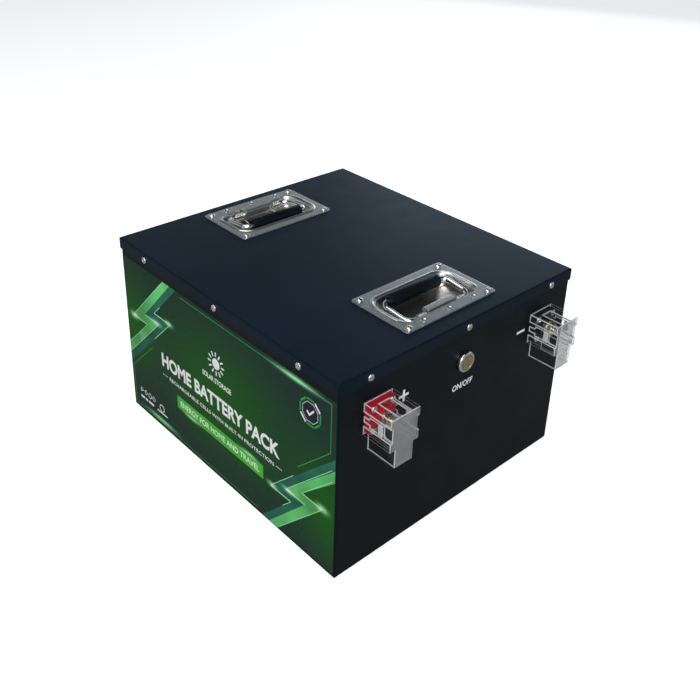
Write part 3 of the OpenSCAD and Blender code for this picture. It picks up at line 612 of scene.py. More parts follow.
def cross_ring(arm, half, h):
    """A ring of points on the outline of a cross, one at each of the head's angles."""
    ring = []
    for t in turns(SCREW_SIDES):
        c, s = abs(math.cos(t)), abs(math.sin(t))
        along, across = max(c, s), min(c, s)
        reach = arm / along
        if reach * across > half:
            reach = half / across
            if reach * along < half:
                reach = half / along
        ring.append((reach * math.cos(t), reach * math.sin(t), h))
    return ring


def screw_group(name, places, shank):
    """Screws that stand for one CAD node: heads with recesses and plain shanks."""
    solid = Solid()
    for place in places:
        solid.place = place
        screw_head(solid)
        solid.lathe([(0, -shank), (SHANK_R - 0.4 * MM, -shank), (SHANK_R, 0.4 * MM - shank),
                     (SHANK_R, 0.1 * MM), (0, 0.1 * MM)], 16)
    solid.stand_in(name, "root", "zinc_screw")


def spun(degrees):
    """A turn about local Z, so that no two recesses lie alike."""
    return Matrix.Rotation(math.radians(degrees), 4, "Z")


def corner_places(place, half_x, half_y, z, step):
    """The four corners of a rectangle, each turned a step further than the last."""
    return [place @ Matrix.Translation((x * half_x, y * half_y, z)) @ spun(step * k)
            for k, (x, y) in enumerate(QUARTERS)]


def make_screws():
    """The screws of the lid's skirt, the handle plates and the terminal bases."""
    low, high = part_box("lid_cover")
    z = box_middle("lid_screws").z
    upright = Matrix.Rotation(math.pi / 2, 4, "X")
    places = []
    for k in (-1, 0, 1):
        along = k * SKIRT_SPREAD
        for x, y, turn in ((along, low.y, 0), (along, high.y, 180),
                           (low.x, along, -90), (high.x, along, 90)):
            place = Matrix.Translation((x, y, z)) @ spun(turn) @ upright
            places.append(place @ spun(17 * k + turn * 0.3))
    screw_group("lid_screws", places, SKIRT_SHANK)

    places = []
    for side in ("front", "rear"):
        places += corner_places(handle_place(side), *HANDLE_SCREW, 0, 31)
    screw_group("handle_screws", places, HANDLE_SHANK)

    places = []
    for x in TERMINAL_X.values():
        places += corner_places(front_place(x, TERMINAL_Z), BASE_SCREW, BASE_SCREW, BASE_T, 23)
    screw_group("terminal_base_screws", places, BASE_SHANK)


def hex_nut(solid, flats, low, high, bore):
    """A nut with both faces chamfered round and a bore."""
    corner = flats / 2 / math.cos(math.pi / 6)
    sides = 48
    cut = 0.6 * MM

    def ring(h, limit):
        points = []
        for t in turns(sides):
            within = (t % (math.pi / 3)) - math.pi / 6
            reach = min(flats / 2 / math.cos(within), limit)
            points.append((reach * math.cos(t), reach * math.sin(t), h))
        return points

    face_r = flats / 2 - 0.2 * MM
    mouth = 0.4 * MM
    solid.skin([
        level_ring(bore, low + mouth, sides), level_ring(bore + mouth, low, sides),
        ring(low, face_r), ring(low + cut, corner), ring(high - cut, corner), ring(high, face_r),
        level_ring(bore + mouth, high, sides), level_ring(bore, high - mouth, sides),
    ], closed=True)


def threaded_rod(solid, low, high, radius, pitch):
    """A rod whose surface winds in a screw thread, with a chamfered tip."""
    sides = 24
    depth = 0.55 * pitch
    tip_length = 1.0 * MM
    per_turn = 6
    steps = max(2, int((high - low) / pitch * per_turn))
    rings = [[(0, 0, low)]]
    for i in range(steps + 1):
        h = low + (high - low) * i / steps
        ring = []
        for t in turns(sides):
            phase = (h / pitch - t / (2 * math.pi)) % 1
            cut = depth * (1 - abs(2 * phase - 1))
            tip = max(0, h - (high - tip_length)) * 0.7
            r = radius - cut - tip
            ring.append((r * math.cos(t), r * math.sin(t), h))
        rings.append(ring)
    rings.append([(0, 0, high)])
    solid.skin(rings)


STUD_R, STUD_PITCH, STUD_OUT, STUD_IN = 4 * MM, 1.25 * MM, 27.5 * MM, 21 * MM
BOSS_FACE, LUG_FACE = 13 * MM, -11.2 * MM
WASHER_R, WASHER_BORE, WASHER_T, WASHER_EDGE = 8 * MM, 4.2 * MM, 1.6 * MM, 0.25 * MM
NUT_FLATS, NUT_H, NUT_BORE = 13 * MM, 6.5 * MM, 3.6 * MM


def add_washer(solid, low):
    """A flat washer with broken edges, standing on a height."""
    high, flat_r = low + WASHER_T, WASHER_R - WASHER_EDGE
    solid.lathe([(WASHER_BORE, low), (flat_r, low), (WASHER_R, low + WASHER_EDGE),
                 (WASHER_R, high - WASHER_EDGE), (flat_r, high), (WASHER_BORE, high)],
                48, closed=True)


def make_studs():
    """The terminal studs, with a washer and a nut outside the case and inside it."""
    studs, washers, nuts = Solid(), Solid(), Solid()
    for x in TERMINAL_X.values():
        for solid in (studs, washers, nuts):
            solid.place = front_place(x, TERMINAL_Z)
        threaded_rod(studs, -STUD_IN, STUD_OUT, STUD_R, STUD_PITCH)
        add_washer(washers, BOSS_FACE)
        add_washer(washers, LUG_FACE - WASHER_T)
        outside = BOSS_FACE + WASHER_T
        inside = LUG_FACE - WASHER_T
        hex_nut(nuts, NUT_FLATS, outside, outside + NUT_H, NUT_BORE)
        hex_nut(nuts, NUT_FLATS, inside - NUT_H, inside, NUT_BORE)
    studs.stand_in("terminal_studs", "root", "terminal_nickel")
    washers.stand_in("terminal_washers", "root", "terminal_nickel")
    nuts.stand_in("terminal_nuts", "root", "terminal_nickel", smooth=25)


# ---------------------------------------------------------------- handles

PAN_X, PAN_HALF_Y, PAN_MID_Y, PAN_R = 57 * MM, 29.25 * MM, -1.75 * MM, 15 * MM
PAN_DEPTH, PAN_LEAN, PAN_FLOOR_R, MOUTH_R = 16 * MM, 2.2 * MM, 6 * MM, 1.3 * MM
FLANGE_X, FLANGE_Y, FLANGE_R, FLANGE_EDGE = 70 * MM, 43.5 * MM, 5 * MM, 0.3 * MM
BEAD_FROM_Y, BEAD_TO_Y = -27 * MM, -12 * MM
# The raised bead round the pan: how far outside the pan's outline, and how high, in mm.
BEAD = ((5.4, 0.0), (4.8, 0.2), (4.2, 0.62), (3.6, 0.95), (3.0, 1.05), (2.4, 0.95),
        (1.8, 0.6), (1.3, 0.15), (0.9, -0.12), (0.6, -0.2))
CORNER_STEPS, SIDE_STEPS = 10, 8
PIVOT = Vector((0, -24.5 * MM, -5.7 * MM))
GRIP = Vector((0, 16.5 * MM, -1.2 * MM))
REACH = (GRIP - PIVOT).length
TILT = math.atan2(GRIP.z - PIVOT.z, GRIP.y - PIVOT.y)
WIRE_R, ARM_X, HINGE_BEND, GRIP_BEND = 3.25 * MM, 48.5 * MM, 12 * MM, 9 * MM
WIRE_END_X = 9 * MM
GRIP_R, GRIP_HALF = 7.6 * MM, 38 * MM
COIL_R, COIL_WIRE_R, COIL_FROM_X, COIL_TO_X, COILS = 4.4 * MM, 0.7 * MM, 23.2 * MM, 35.2 * MM, 7
STRIP_X, STRIP_Y, STRIP_MID_Y, STRIP_TOP = 48 * MM, 7.35 * MM, -35.85 * MM, 0.55 * MM
KNUCKLE_X, KNUCKLE_TOP, KNUCKLE_FOLD = 22 * MM, 1.9 * MM, 2.6 * MM
KNUCKLE_NEAR, KNUCKLE_FAR = -27.2 * MM, -17.0 * MM
BARREL_R, BORE_R = 4.5 * MM, 3.3 * MM
LEAF_LOW, LEAF_HIGH = -2.4 * MM, -1.2 * MM
LEAF_FROM_Y, LEAF_TO_Y = -40 * MM, -28.5 * MM
RIVET_X, RIVET_Y = 39 * MM, -36.5 * MM
# A dished rivet head and its shank: (radius, height over the strip), in mm.
RIVET = ((0, -2.9), (1.9, -2.9), (2.0, -0.1), (4.0, -0.05), (4.1, 0.25), (3.9, 0.5),
         (3.5, 0.55), (3.1, 0.4), (2.5, -0.3), (1.6, -0.9), (0, -1.1))


def smooth_step(value, low, high):
    t = min(1, max(0, (value - low) / (high - low)))
    return t * t * (3 - 2 * t)


def plate_ring(grow, height, bead=False):
    """The pan's outline grown by an amount, at a height. A bead dies out at the hinge."""
    outline = rounded_rect(PAN_X + grow, PAN_HALF_Y + grow, PAN_R + grow, (0, PAN_MID_Y),
                           CORNER_STEPS, SIDE_STEPS)
    ring = []
    for x, y in outline:
        keep = smooth_step(y, BEAD_FROM_Y, BEAD_TO_Y) if bead else 1
        ring.append((x, y, height * keep))
    return ring


def flange_rings():
    """The flange from its rounded edge inward, up over the bead and into the curled mouth."""
    rings = []
    edge = FLANGE_EDGE
    for inset, z in ((0, -edge), (edge * 0.3, -edge * 0.3), (edge, 0), (edge * 3, 0)):
        outline = rounded_rect(FLANGE_X - inset, FLANGE_Y - inset, FLANGE_R - inset, (0, 0),
                               CORNER_STEPS, SIDE_STEPS)
        rings.append([(x, y, z) for x, y in outline])
    rings.append(plate_ring(6.2 * MM, 0))
    rings += [plate_ring(grow * MM, z * MM, True) for grow, z in BEAD]
    for a in (0.3, 0.7, 1.1, 1.45):
        rings.append(plate_ring(0.3 * MM - MOUTH_R * math.sin(a), -MOUTH_R * (1 - math.cos(a))))
    return rings


def pan_rings():
    """The pan's leaning wall, its rounded foot and the start of its floor."""
    low = PAN_DEPTH - PAN_FLOOR_R
    rings = []
    for t in (0.1, 0.4, 0.7, 1):
        rings.append(plate_ring(-MOUTH_R - PAN_LEAN * t, -MOUTH_R - (low - MOUTH_R) * t))
    for a in (0.35, 0.7, 1.05, 1.35, math.pi / 2):
        inward = PAN_FLOOR_R * (1 - math.cos(a))
        rings.append(plate_ring(-MOUTH_R - PAN_LEAN - inward, -low - PAN_FLOOR_R * math.sin(a)))
    rings.append(plate_ring(-MOUTH_R - PAN_LEAN - PAN_FLOOR_R - 2 * MM, -PAN_DEPTH))
    return rings


def make_handle_plate(side):
    """One pressed sheet: flange, bead, curled mouth and a deep pan with soft corners."""
    solid = Solid()
    solid.place = handle_place(side)
    flange = flange_rings()
    # The inner bead, the curled mouth and the pan, its floor too, take the brighter, bluer copy of the
    # steel, a painted reflection.
    lit_copy_from = len(flange) - 6
    made = [[solid.point(p) for p in ring] for ring in flange + pan_rings()]
    for i, (a, b) in enumerate(zip(made, made[1:])):
        for k in range(len(a)):
            after = (k + 1) % len(a)
            face = solid.mesh.faces.new((a[k], a[after], b[after], b[k]))
            face.material_index = 1 if i >= lit_copy_from else 0
    solid.mesh.faces.new(made[-1]).material_index = 1
    finishes = [FINISHES["handle_plate_steel"], PLATE_POLISHED_LIT_COPY]
    piece = solid.stand_in(side + "_handle_plate", "root", "handle_plate_steel", finishes)
    sheet = piece.modifiers.new("sheet", "SOLIDIFY")
    sheet.thickness = PLATE_T
    sheet.offset = -1


def make_strip(side):
    """The doubler strip on the plate, along the hinge."""
    strip = Solid()
    strip.place = handle_place(side)
    outline = rounded_rect(STRIP_X, STRIP_Y, 1.5 * MM, (0, STRIP_MID_Y), 6)
    strip.slab(outline, 0.0, STRIP_TOP)
    bevelled(strip.finish(side + "_hinge_strip", "root", "handle_plate_steel"), 0.22 * MM)


def make_knuckle(side):
    """The rolled knuckle, bored for the wire, and the leaf that holds it under the plate."""
    place = handle_place(side)
    along_x = Matrix(((0, 0, 1, 0), (1, 0, 0, 0), (0, 1, 0, 0), (0, 0, 0, 1)))
    roll = Solid()
    roll.place = place @ along_x
    lip = 0.5 * MM
    profile = [(KNUCKLE_NEAR, LEAF_LOW), (KNUCKLE_NEAR, KNUCKLE_TOP - lip),
               (KNUCKLE_NEAR + lip, KNUCKLE_TOP)]
    fold_at = (KNUCKLE_FAR - KNUCKLE_FOLD, KNUCKLE_TOP - KNUCKLE_FOLD)
    profile += arc(fold_at, KNUCKLE_FOLD, 90, -10, 8)
    profile += arc((PIVOT.y, PIVOT.z), BARREL_R, 0, -215, 22)
    roll.slab(profile[::-1], -KNUCKLE_X, KNUCKLE_X)
    leaf = Solid()
    leaf.place = place
    leaf.block((-STRIP_X, LEAF_FROM_Y, LEAF_LOW), (STRIP_X, LEAF_TO_Y, LEAF_HIGH))
    leaf_mesh = bpy.data.meshes.new("leaf")
    leaf.mesh.to_mesh(leaf_mesh)
    leaf.mesh.free()
    piece = roll.stand_in(side + "_hinge_knuckle", "root", "handle_plate_steel")
    bore = Solid()
    bore.place = place @ Matrix.Translation(PIVOT) @ Matrix.Rotation(math.pi / 2, 4, "Y")
    end = KNUCKLE_X + 8 * MM
    bore.lathe([(0, -end), (BORE_R, -end), (BORE_R, end), (0, end)])
    cut_away(piece, bore)
    joined = bmesh.new()
    joined.from_mesh(piece.data)
    joined.from_mesh(leaf_mesh)
    joined.to_mesh(piece.data)
    joined.free()
    smoothed(piece)
    bevelled(piece, 0.15 * MM)


def make_rivets(side):
    """Three dished rivets through the strip, the plate and the leaf."""
    rivets = Solid()
    for x in (-RIVET_X, 0, RIVET_X):
        rivets.place = handle_place(side) @ Matrix.Translation((x, RIVET_Y, 0))
        rivets.lathe([(r * MM, STRIP_TOP + h * MM) for r, h in RIVET], 28)
    # The rivet heads take the brighter, bluer copy of the steel, a painted highlight.
    rivets.stand_in(side + "_hinge_rivets", "root", "handle_plate_steel", [PLATE_POLISHED_LIT_COPY])


def cut_away(piece, cutter):
    """Cuts a closed shape out of a piece."""
    tool = cutter.build("cutter")
    cut = piece.modifiers.new("cut", "BOOLEAN")
    cut.object = tool
    cut.solver = "EXACT"
    bpy.context.view_layer.update()
    shown = piece.evaluated_get(bpy.context.evaluated_depsgraph_get())
    mesh = bpy.data.meshes.new_from_object(shown)
    piece.modifiers.clear()
    piece.data = mesh
    bpy.data.objects.remove(tool)


def bail_place(side):
    """The bail's own frame: the wire's middle line lies in its XY plane, from the pivot."""
    tilt = Matrix.Rotation(TILT, 4, "X")
    return handle_place(side) @ Matrix.Translation(PIVOT) @ tilt


def make_bail(side):
    """The bent wire, from one end inside the barrel round to the other, and its grip."""
    near = ARM_X - HINGE_BEND
    far = ARM_X - GRIP_BEND
    half = [(WIRE_END_X, 0)]
    half += arc((near, HINGE_BEND), HINGE_BEND, -90, 0, 10)
    half += arc((far, REACH - GRIP_BEND), GRIP_BEND, 0, 90, 8)
    path = [(x, y, 0) for x, y in half] + [(-x, y, 0) for x, y in reversed(half)]
    wire = Solid()
    wire.place = bail_place(side)
    wire.tube(path, WIRE_R, 24)
    wire.stand_in(side + "_handle_bail", side + "_bail", "handle_wire_chrome")

    grip = Solid()
    along_x = Matrix.Rotation(math.pi / 2, 4, "Y")
    grip.place = bail_place(side) @ Matrix.Translation((0, REACH, 0)) @ along_x
    ends = [(BORE_R, 0.9), (BORE_R + 0.5 * MM, 0.1), (GRIP_R - 1.5 * MM, 0),
            (GRIP_R - 0.5 * MM, 0.35), (GRIP_R, 1.4)]
    profile = [(radius, d * MM - GRIP_HALF) for radius, d in ends]
    profile += [(GRIP_R * 0.998, 0)]
    profile += [(radius, GRIP_HALF - d * MM) for radius, d in reversed(ends)]
    grip.lathe(profile, 48, closed=True)
    grip.stand_in(side + "_handle_grip", side + "_bail", "grip_rubber")


def make_springs(side):
    """Wound springs beside the barrel, each with a leg along the pan's floor."""
    springs = Solid()
    springs.place = handle_place(side) @ Matrix.Translation(PIVOT)
    for s in (-1, 1):
        path = [(s * COIL_FROM_X, 13 * MM, -COIL_R - 2.2 * MM),
                (s * COIL_FROM_X, 6 * MM, -COIL_R - 0.7 * MM)]
        steps = 20
        for i in range(COILS * steps + 1):
            a = -math.pi / 2 - 2 * math.pi * i / steps
            x = COIL_FROM_X + (COIL_TO_X - COIL_FROM_X) * i / (COILS * steps)
            path.append((s * x, COIL_R * math.cos(a), COIL_R * math.sin(a)))
        x, y, z = path[-1]
        path.append((x, y - 3 * MM, z + 0.2 * MM))
        springs.tube(path, COIL_WIRE_R, 8)
    springs.stand_in(side + "_return_springs", "root", "spring_steel", smooth=60)


# ---------------------------------------------------------------- button


# Half sections as (radius, height out of the panel), in mm.
BEZEL_R, BEZEL_FLAT_R, BEZEL_LOW, BEZEL_HIGH = 12.3, 9.9, 2.3, 4.4
BUTTON_BODY = [(0, -24), (10.7, -24), (10.9, -23.8), (10.9, 1.0), (12.1, 1.0), (BEZEL_R, 1.2),
               (BEZEL_R, BEZEL_LOW)]
BUTTON_WELL = [(9.0, BEZEL_HIGH), (8.65, 4.25), (8.5, 3.9), (8.5, -21), (0, -21)]
BUTTON_CAP = [(0, -5), (7.9, -5), (8.2, -4.7), (8.2, 3.7), (8.1, 4.0), (7.9, 4.1)]
DISH_R, DISH_MID = 26, 28.8


def make_button():
    """The button's body with its domed bezel, and the dished cap."""
    wide, tall = BEZEL_R - BEZEL_FLAT_R, BEZEL_HIGH - BEZEL_LOW
    dome = [(BEZEL_FLAT_R + wide * math.cos(math.radians(a)),
             BEZEL_LOW + tall * math.sin(math.radians(a))) for a in range(15, 91, 15)]
    body = Solid()
    body.place = front_place(BUTTON.x, BUTTON.z)
    body.lathe([(r * MM, h * MM) for r, h in BUTTON_BODY + dome + BUTTON_WELL], 72)
    body.stand_in("button_body", "root", "button_chrome")

    dish = [(r, DISH_MID - math.sqrt(DISH_R ** 2 - r ** 2)) for r in (7.7, 6.5, 5, 3.5, 2, 1, 0)]
    cap = Solid()
    cap.lathe([(r * MM, h * MM) for r, h in BUTTON_CAP + dish], 72)
    piece = cap.build("button_cap_piece")
    piece.matrix_world = body.place
    dress(piece, "button_plunger", "button_nickel", "button_cap")


# ---------------------------------------------------------------- terminals

COVER_WALL = 1.8 * MM
# The material number of the painted edge highlight, then that of the frosted front.
COVER_EDGE_HIGHLIGHT, COVER_FROSTED = 1, 2
PAD_HALF, PAD_PROUD, PAD_SUNK = 6.3 * MM, 0.35 * MM, 0.3 * MM
PAD_FROM, PAD_TO = 21.6 * MM, 27.2 * MM


def make_base(side, slot):
    """The moulded base behind a terminal, with rounded edges."""
    base = copy_of(side + "_terminal_base", side + "_terminal_base_piece")
    dress(base, "root", slot, side + "_terminal_base")
    bevelled(base, 0.5 * MM, 3)


def make_cover(side):
    """A clear cover: edges in a whitish, half-opaque finish that paints their bright highlight, a
    frosted front wall and clear sides.
    """
    name = side + "_terminal_cover"
    cover = copy_of(name, name + "_piece")
    dress(cover, side + "_cover", "clear_cover", name,
          finishes=[FINISHES["clear_cover"], CLEAR_EDGE_HIGHLIGHT, CLEAR_FROSTED])
    frosted_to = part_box(name)[0].y + COVER_WALL + 0.1 * MM
    points = cover.data.vertices
    for face in cover.data.polygons:
        longest = max((points[a].co - points[b].co).length for a, b in face.edge_keys)
        if all(points[i].co.y < frosted_to for i in face.vertices):
            face.material_index = COVER_FROSTED
        # Narrow faces, the walls' cut edges, take the painted edge highlight.
        elif face.area / longest < COVER_WALL * 1.2:
            face.material_index = COVER_EDGE_HIGHLIGHT
    # The rounded edges take the painted edge highlight too.
    bevelled(cover, 0.6 * MM, 2, 40, COVER_EDGE_HIGHLIGHT)


def make_latch_pads(side):
    """The thick ends of the two latch tongues, where the fingers press."""
    low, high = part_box(side + "_terminal_cover")
    half = (high.x - low.x) / 2
    pads = Solid()
    pads.place = front_place(TERMINAL_X[side], TERMINAL_Z)
    for s in (-1, 1):
        x0, x1 = sorted((s * (half - PAD_SUNK), s * (half + PAD_PROUD)))
        pads.block((x0, -PAD_HALF, PAD_FROM), (x1, PAD_HALF, PAD_TO))
    # The pads take the whitish finish that paints the cover edges' highlight.
    piece = pads.finish(side + "_latch_pads", side + "_cover", "clear_cover", finishes=[CLEAR_EDGE_HIGHLIGHT])
    bevelled(piece, 0.25 * MM)


# ---------------------------------------------------------------- label
# On the label, places and widths are in mm: u from its back end to its front end, then z.

LABEL_LOW, LABEL_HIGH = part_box("side_label")
LABEL_L = (LABEL_HIGH.y - LABEL_LOW.y) / MM
LABEL_END = 0.5
LABEL_IOR = 1.22
PRINT_T = 0.04 * MM
SHINE_COLOR = (0.30, 0.85, 0.36)
BRIGHT_SPOTS = (((332, 217), (26, 2.6)), ((66, 11), (26, 2.6)), ((252, 73.5), (13, 2)),
                ((137, 54.5), (13, 2)), ((98, 168.5), (7, 3)), ((18, 144), (8, 4)),
                ((293, 57.5), (7, 3)), ((375, 81), (8, 4)), ((70, 157), (9, 3)),
                ((321, 68), (9, 3)))
GREEN_SPOTS = (((197, 119), (112, 78)), ((6, 138), (52, 62)), ((388, 80), (52, 62)))
FILM_END = 0.8
TURNED_U, TURNED_Z = 391, 224
PALE_BOLT = [(90, 221.6), (15.5, 144), (48, 144), (FILM_END, 98), (FILM_END, 83), (75, 156.5),
             (43.5, 156.5), (104.5, 221.6)]
TEAL_BOLT = [(104.5, 221.6), (43.5, 156.5), (75, 156.5), (FILM_END, 83), (FILM_END, 69),
             (101, 168.5), (66, 168.5), (117.5, 221.6)]
BOLT_EDGES = [[(15.5, 144), (48, 144)], [(43.5, 156.5), (75, 156.5)], [(66, 168.5), (101, 168.5)]]
BOLT_SIDES = [[(15.5, 144), (87, 218)], [(48, 144), (2, 99)], [(75, 156.5), (2, 84.5)],
              [(101, 168.5), (62, 130)], [(66, 168.5), (80, 182.5)]]
BORDER = [(125, 216.6), (386, 216.6), (386, 159), (336, 110)]
BANNER_LOW, BANNER_HIGH = (107, 55), (277, 73)
WORDS = (("HOME BATTERY PACK", (77, 100), (306, 119.5), 0.035),
         ("RECHARGEABLE CELLS WITH BUILT-IN PROTECTION", (92, 85.5), (296, 90.5), 0.01),
         ("ENERGY FOR HOME AND TRAVEL", (114, 60), (270, 68), 0.01),
         ("SOLAR STORAGE", (166, 135), (221, 142), 0.02))
SUN, SUN_R, RAY_FROM, RAY_TO, RAYS = (193.5, 162), 7, 9.5, 15.5, 12
BADGE = (355, 189.5)


def label_solid(level=1):
    """On the label: +X runs to the front, +Y up and +Z out. level is the print's layer."""
    axes = Matrix(((0, 0, -1, 0), (-1, 0, 0, 0), (0, 1, 0, 0), (0, 0, 0, 1)))
    solid = Solid()
    start = (LABEL_LOW.x - level * PRINT_T, LABEL_HIGH.y + LABEL_END * MM, 0)
    solid.place = Matrix.Translation(start) @ axes
    return solid


def printed(name, solid, finish):
    """Ends a printed layer."""
    solid.finish(name, "root", "label_film", finishes=[finish])


def draw_area(solid, points):
    """A printed area inside an outline."""
    solid.slab([(u * MM, z * MM) for u, z in points], -PRINT_T, 0)


def draw_line(solid, points, width, closed=False):
    """A printed line along points, with mitred corners."""
    points = [Vector(p) * MM for p in points]
    left, right = [], []
    for i, p in enumerate(points):
        steps = []
        if i or closed:
            steps.append((p - points[i - 1]).normalized())
        if i < len(points) - 1 or closed:
            steps.append((points[(i + 1) % len(points)] - p).normalized())
        normals = [Vector((-step.y, step.x)) for step in steps]
        middle = sum(normals, Vector((0, 0))).normalized()
        reach = width * MM / 2 / max(0.4, middle.dot(normals[0]))
        left.append(p + middle * reach)
        right.append(p - middle * reach)
    if closed:
        solid.skin([[(a.x, a.y, -PRINT_T), (a.x, a.y, 0), (b.x, b.y, 0), (b.x, b.y, -PRINT_T)]
                    for a, b in zip(left, right)], closed=True)
    else:
        solid.slab([tuple(p) for p in left + right[::-1]], -PRINT_T, 0)


def add_words(solid, words, low, high, thick, bold):
    """Words as solid lettering, fitted between two corners of the local XY plane."""
    curve = bpy.data.curves.new("words", "FONT")
    curve.body = words
    curve.size = 1
    curve.offset = bold
    curve.extrude = 0.05
    curve.resolution_u = 4
    holder = in_scene("words", curve)
    bpy.context.view_layer.update()
    shown = holder.evaluated_get(bpy.context.evaluated_depsgraph_get())
    mesh = bpy.data.meshes.new_from_object(shown)
    bpy.data.objects.remove(holder)
    xs, ys, zs = zip(*[v.co for v in mesh.vertices])
    start = Vector((min(xs), min(ys), min(zs)))
    scale = Vector(((high[0] - low[0]) / (max(xs) - min(xs)),
                    (high[1] - low[1]) / (max(ys) - min(ys)), thick / (max(zs) - min(zs))))
    for v in mesh.vertices:
        v.co = Vector((low[0], low[1], 0)) + (v.co - start) * scale
    mesh.transform(solid.place)
    solid.mesh.from_mesh(mesh)
    bmesh.ops.remove_doubles(solid.mesh, verts=solid.mesh.verts, dist=0.0005 * MM)


def glow_sum(made, spots):
    """The label's glows added up, from their places and sizes."""
    total = None
    for at, size in spots:
        place = ((LABEL_HIGH.y / MM + LABEL_END - at[0]) * MM, at[1] * MM)
        spot = made.glow(place, (size[0] * MM, size[1] * MM))
        total = spot if total is None else made.math("ADD", total, spot, clamp=True)
    return total


def film_finish(name, plain, lit):
    """Glossy print whose colour turns from plain to lit round the label's green glows."""
    made = Finish(name, plain, 0.3, specular=0.2)
    made.put("IOR", LABEL_IOR)
    green = made.blend(glow_sum(made, GREEN_SPOTS), plain, lit)
    made.put("Base Color", made.blend(glow_sum(made, BRIGHT_SPOTS), green, SHINE_COLOR))
    made.put("Roughness", made.spread(made.noise(0.02, 4), 0.26, 0.36))
    return made.material


def ink(name, color, glowing, deep=0.85):
    """Ink of one colour, clouded a little deeper, and brighter near the label's bright spots."""
    made = Finish(name, color, 0.32, specular=0.2)
    made.put("IOR", LABEL_IOR)
    spots = glow_sum(made, BRIGHT_SPOTS)
    tone = made.spread(made.noise(0.05, 2), 0, 1)
    darker = made.blend(tone, color, [c * deep for c in color])
    made.put("Base Color", made.blend(spots, darker, glowing))
    made.put("Roughness", made.spread(made.noise(0.02, 4), 0.28, 0.38))
    return made.material


PALE_INK = ink("pale_green_ink", (0.19, 0.78, 0.24), (0.75, 1.0, 0.75), 0.45)
TEAL_INK = ink("teal_ink", (0.030, 0.19, 0.125), (0.3, 0.85, 0.45), 0.45)
EDGE_INK = ink("edge_ink", (0.45, 0.95, 0.48), (0.9, 1.0, 0.9))
LINE_INK = ink("line_ink", (0.04, 0.36, 0.06), (0.6, 1.0, 0.65))
WHITE_INK = ink("white_ink", (0.95, 0.96, 0.95), (0.96, 1.0, 0.96), 0.97)
BANNER_INK = ink("banner_ink", (0.085, 0.52, 0.045), (0.4, 0.95, 0.4))
DARK_INK = ink("dark_ink", (0.020, 0.026, 0.042), (0.03, 0.04, 0.06))


def mirrored(points):
    """Points turned half a turn about the label's middle. Those on a film end stay on one."""
    return [(LABEL_L + 2 * LABEL_END - u if u < 1 else TURNED_U - u, TURNED_Z - z)
            for u, z in points]


def make_film():
    """The printed film itself, with its green glows."""
    film = label_solid(0)
    half_l, half_h = LABEL_L / 2 * MM, (LABEL_HIGH.z - LABEL_LOW.z) / 2
    middle = (half_l + LABEL_END * MM, (LABEL_HIGH.z + LABEL_LOW.z) / 2)
    thick = LABEL_HIGH.x - LABEL_LOW.x
    film.slab(rounded_rect(half_l, half_h, 1.2 * MM, middle, 6), -thick, 0)
    finish = film_finish("label_film", (0.016, 0.034, 0.033), (0.013, 0.105, 0.011))
    film.finish("side_label_film", "root", "label_film", "side_label", finishes=[finish])


def make_bolts():
    """Two zigzag bolts at opposite corners, each in two greens with pale edges."""
    for name, finish, outline in (("label_bolts_pale", PALE_INK, PALE_BOLT),
                                  ("label_bolts_teal", TEAL_INK, TEAL_BOLT)):
        solid = label_solid()
        draw_area(solid, outline)
        draw_area(solid, mirrored(outline))
        printed(name, solid, finish)
    solid = label_solid(2)
    for lines, width in ((BOLT_EDGES, 1.4), (BOLT_SIDES, 0.7)):
        for line in lines:
            draw_line(solid, line, width)
            draw_line(solid, mirrored(line), width)
    printed("label_bolt_edges", solid, EDGE_INK)


def make_border():
    """Thin lines along the label's edges."""
    solid = label_solid()
    for line in (BORDER, mirrored(BORDER)):
        draw_line(solid, line, 0.9)
    printed("label_border_lines", solid, LINE_INK)


def make_words():
    """The banner and the four lines of generic words, one between two dashes."""
    banner = label_solid()
    draw_area(banner, rectangle(BANNER_LOW, BANNER_HIGH))
    printed("label_banner", banner, BANNER_INK)
    solid = label_solid(2)
    for words, low, high, bold in WORDS:
        add_words(solid, words, [c * MM for c in low], [c * MM for c in high], PRINT_T, bold)
    for u in (77, 300):
        draw_line(solid, [(u, 88), (u + 10, 88)], 0.7)
    printed("label_words", solid, WHITE_INK)


def make_sun_mark():
    """A plain sun with straight rays."""
    solid = label_solid()
    draw_area(solid, circle(SUN_R, SUN))
    for a in turns(RAYS):
        ray = [(SUN[0] + r * math.cos(a), SUN[1] + r * math.sin(a)) for r in (RAY_FROM, RAY_TO)]
        draw_line(solid, ray, 2)
    printed("label_sun_mark", solid, WHITE_INK)


def make_small_marks():
    """Plain small shapes in the label's lower corner, over short bars."""
    solid = label_solid()
    for u, sides in ((20, 3), (30, 4), (40, 24), (49, 6)):
        draw_line(solid, circle(3.4, (u, 33.5), sides), 0.9, closed=True)
    for u, length in ((17, 9), (28, 6), (36, 12)):
        draw_line(solid, [(u, 23), (u + length, 23)], 3.4)
    draw_line(solid, circle(5, (68, 30)), 1.2, closed=True)
    draw_line(solid, [(56, 22.5), (80, 22.5)], 2)
    printed("label_small_marks", solid, WHITE_INK)


def octagon(radius):
    """The corners of an octagon round the badge's middle."""
    corners = [math.radians(22.5 + 45 * k) for k in range(8)]
    return [(BADGE[0] + radius * math.cos(a), BADGE[1] + radius * math.sin(a)) for a in corners]


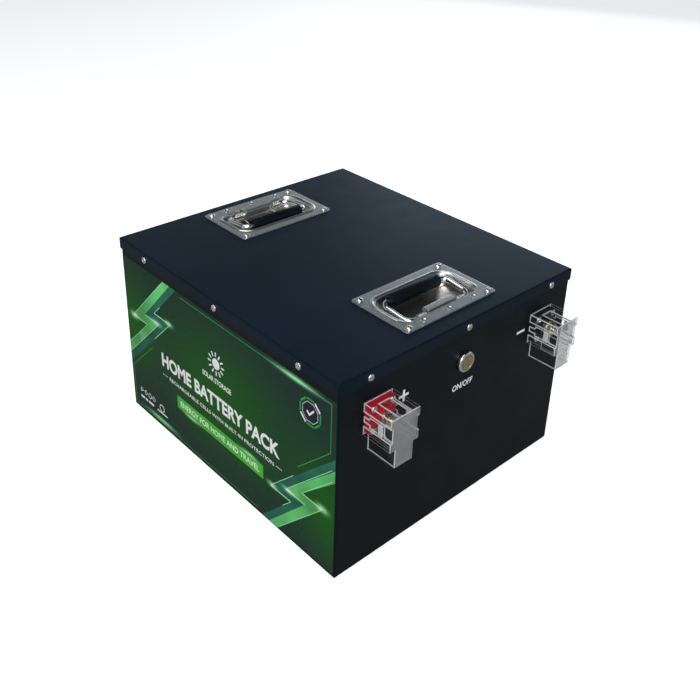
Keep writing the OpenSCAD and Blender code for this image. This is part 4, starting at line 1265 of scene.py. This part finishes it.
def make_badge():
    """An eight-sided badge with a plain tick."""
    solid = label_solid()
    draw_area(solid, octagon(17.4))
    for s in (-1, 1):
        tab = [(BADGE[0] + s * x, BADGE[1] + z) for x, z in ((14, 5), (19.5, 4), (19.5, -4), (14, -5))]
        draw_area(solid, tab if s > 0 else tab[::-1])
    printed("label_badge_face", solid, DARK_INK)
    corners = octagon(16.4)
    for name, finish, sides in (("label_badge_green", LINE_INK, (1, 2, 5, 6, 7, 3)),
                                ("label_badge_white", WHITE_INK, (0, 4))):
        solid = label_solid(2)
        for k in sides:
            a, b = Vector(corners[k]), Vector(corners[(k + 1) % 8])
            draw_line(solid, [a.lerp(b, 0.06), a.lerp(b, 0.94)], 2.3)
        printed(name, solid, finish)
    solid = label_solid(2)
    draw_line(solid, octagon(12.4), 0.5, closed=True)
    tick = ((-5, 0.5), (-1.5, -3.5), (5.5, 4.5))
    draw_line(solid, [(BADGE[0] + x, BADGE[1] + z) for x, z in tick], 2)
    printed("label_badge_tick", solid, WHITE_INK)


# ---------------------------------------------------------------- print on the front

SIGN_HALF, SIGN_HALF_W = 7 * MM, 1.5 * MM
MINUS_Z = 191 * MM
LEGEND_HALF, LEGEND_H = 16 * MM, 7.6 * MM


def make_front_print():
    """Plus and minus signs by the terminals and the legend under the button."""
    low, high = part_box("front_markings")
    thick = high.y - low.y
    solid = Solid()
    solid.place = front_place(0, 0)
    plus_x, plus_z = low.x + SIGN_HALF, high.z - SIGN_HALF
    for x, z in ((plus_x, plus_z), (high.x - SIGN_HALF, MINUS_Z)):
        solid.block((x - SIGN_HALF, z - SIGN_HALF_W, 0), (x + SIGN_HALF, z + SIGN_HALF_W, thick))
    for z0, z1 in ((-SIGN_HALF, -SIGN_HALF_W), (SIGN_HALF_W, SIGN_HALF)):
        solid.block((plus_x - SIGN_HALF_W, plus_z + z0, 0), (plus_x + SIGN_HALF_W, plus_z + z1, thick))
    add_words(solid, "ON/OFF", (-LEGEND_HALF, low.z), (LEGEND_HALF, low.z + LEGEND_H), thick, 0.015)
    solid.stand_in("front_markings", "root", "white_print")


# ---------------------------------------------------------------- the whole pack


def dress_nodes():
    """Every CAD node takes the finish of its record slot."""
    for part in frame["record"]["subparts"]:
        finish = FINISHES.get(part["material_slot"], FINISHES["case_powder_coat"])
        materials = nodes[part["node"]].data.materials
        if not materials:
            materials.append(finish)
        for k in range(len(materials)):
            materials[k] = finish


make_camera()
make_surround()
make_floor()
make_lights()
dress_nodes()
make_screws()
make_studs()
for handle in ("front", "rear"):
    make_handle_plate(handle)
    make_strip(handle)
    make_knuckle(handle)
    make_rivets(handle)
    make_bail(handle)
    make_springs(handle)
make_button()
for terminal, plastic in (("positive", "red_plastic"), ("negative", "black_plastic")):
    make_base(terminal, plastic)
    make_cover(terminal)
    make_latch_pads(terminal)
make_film()
make_bolts()
make_border()
make_words()
make_sun_mark()
make_small_marks()
make_badge()
make_front_print()
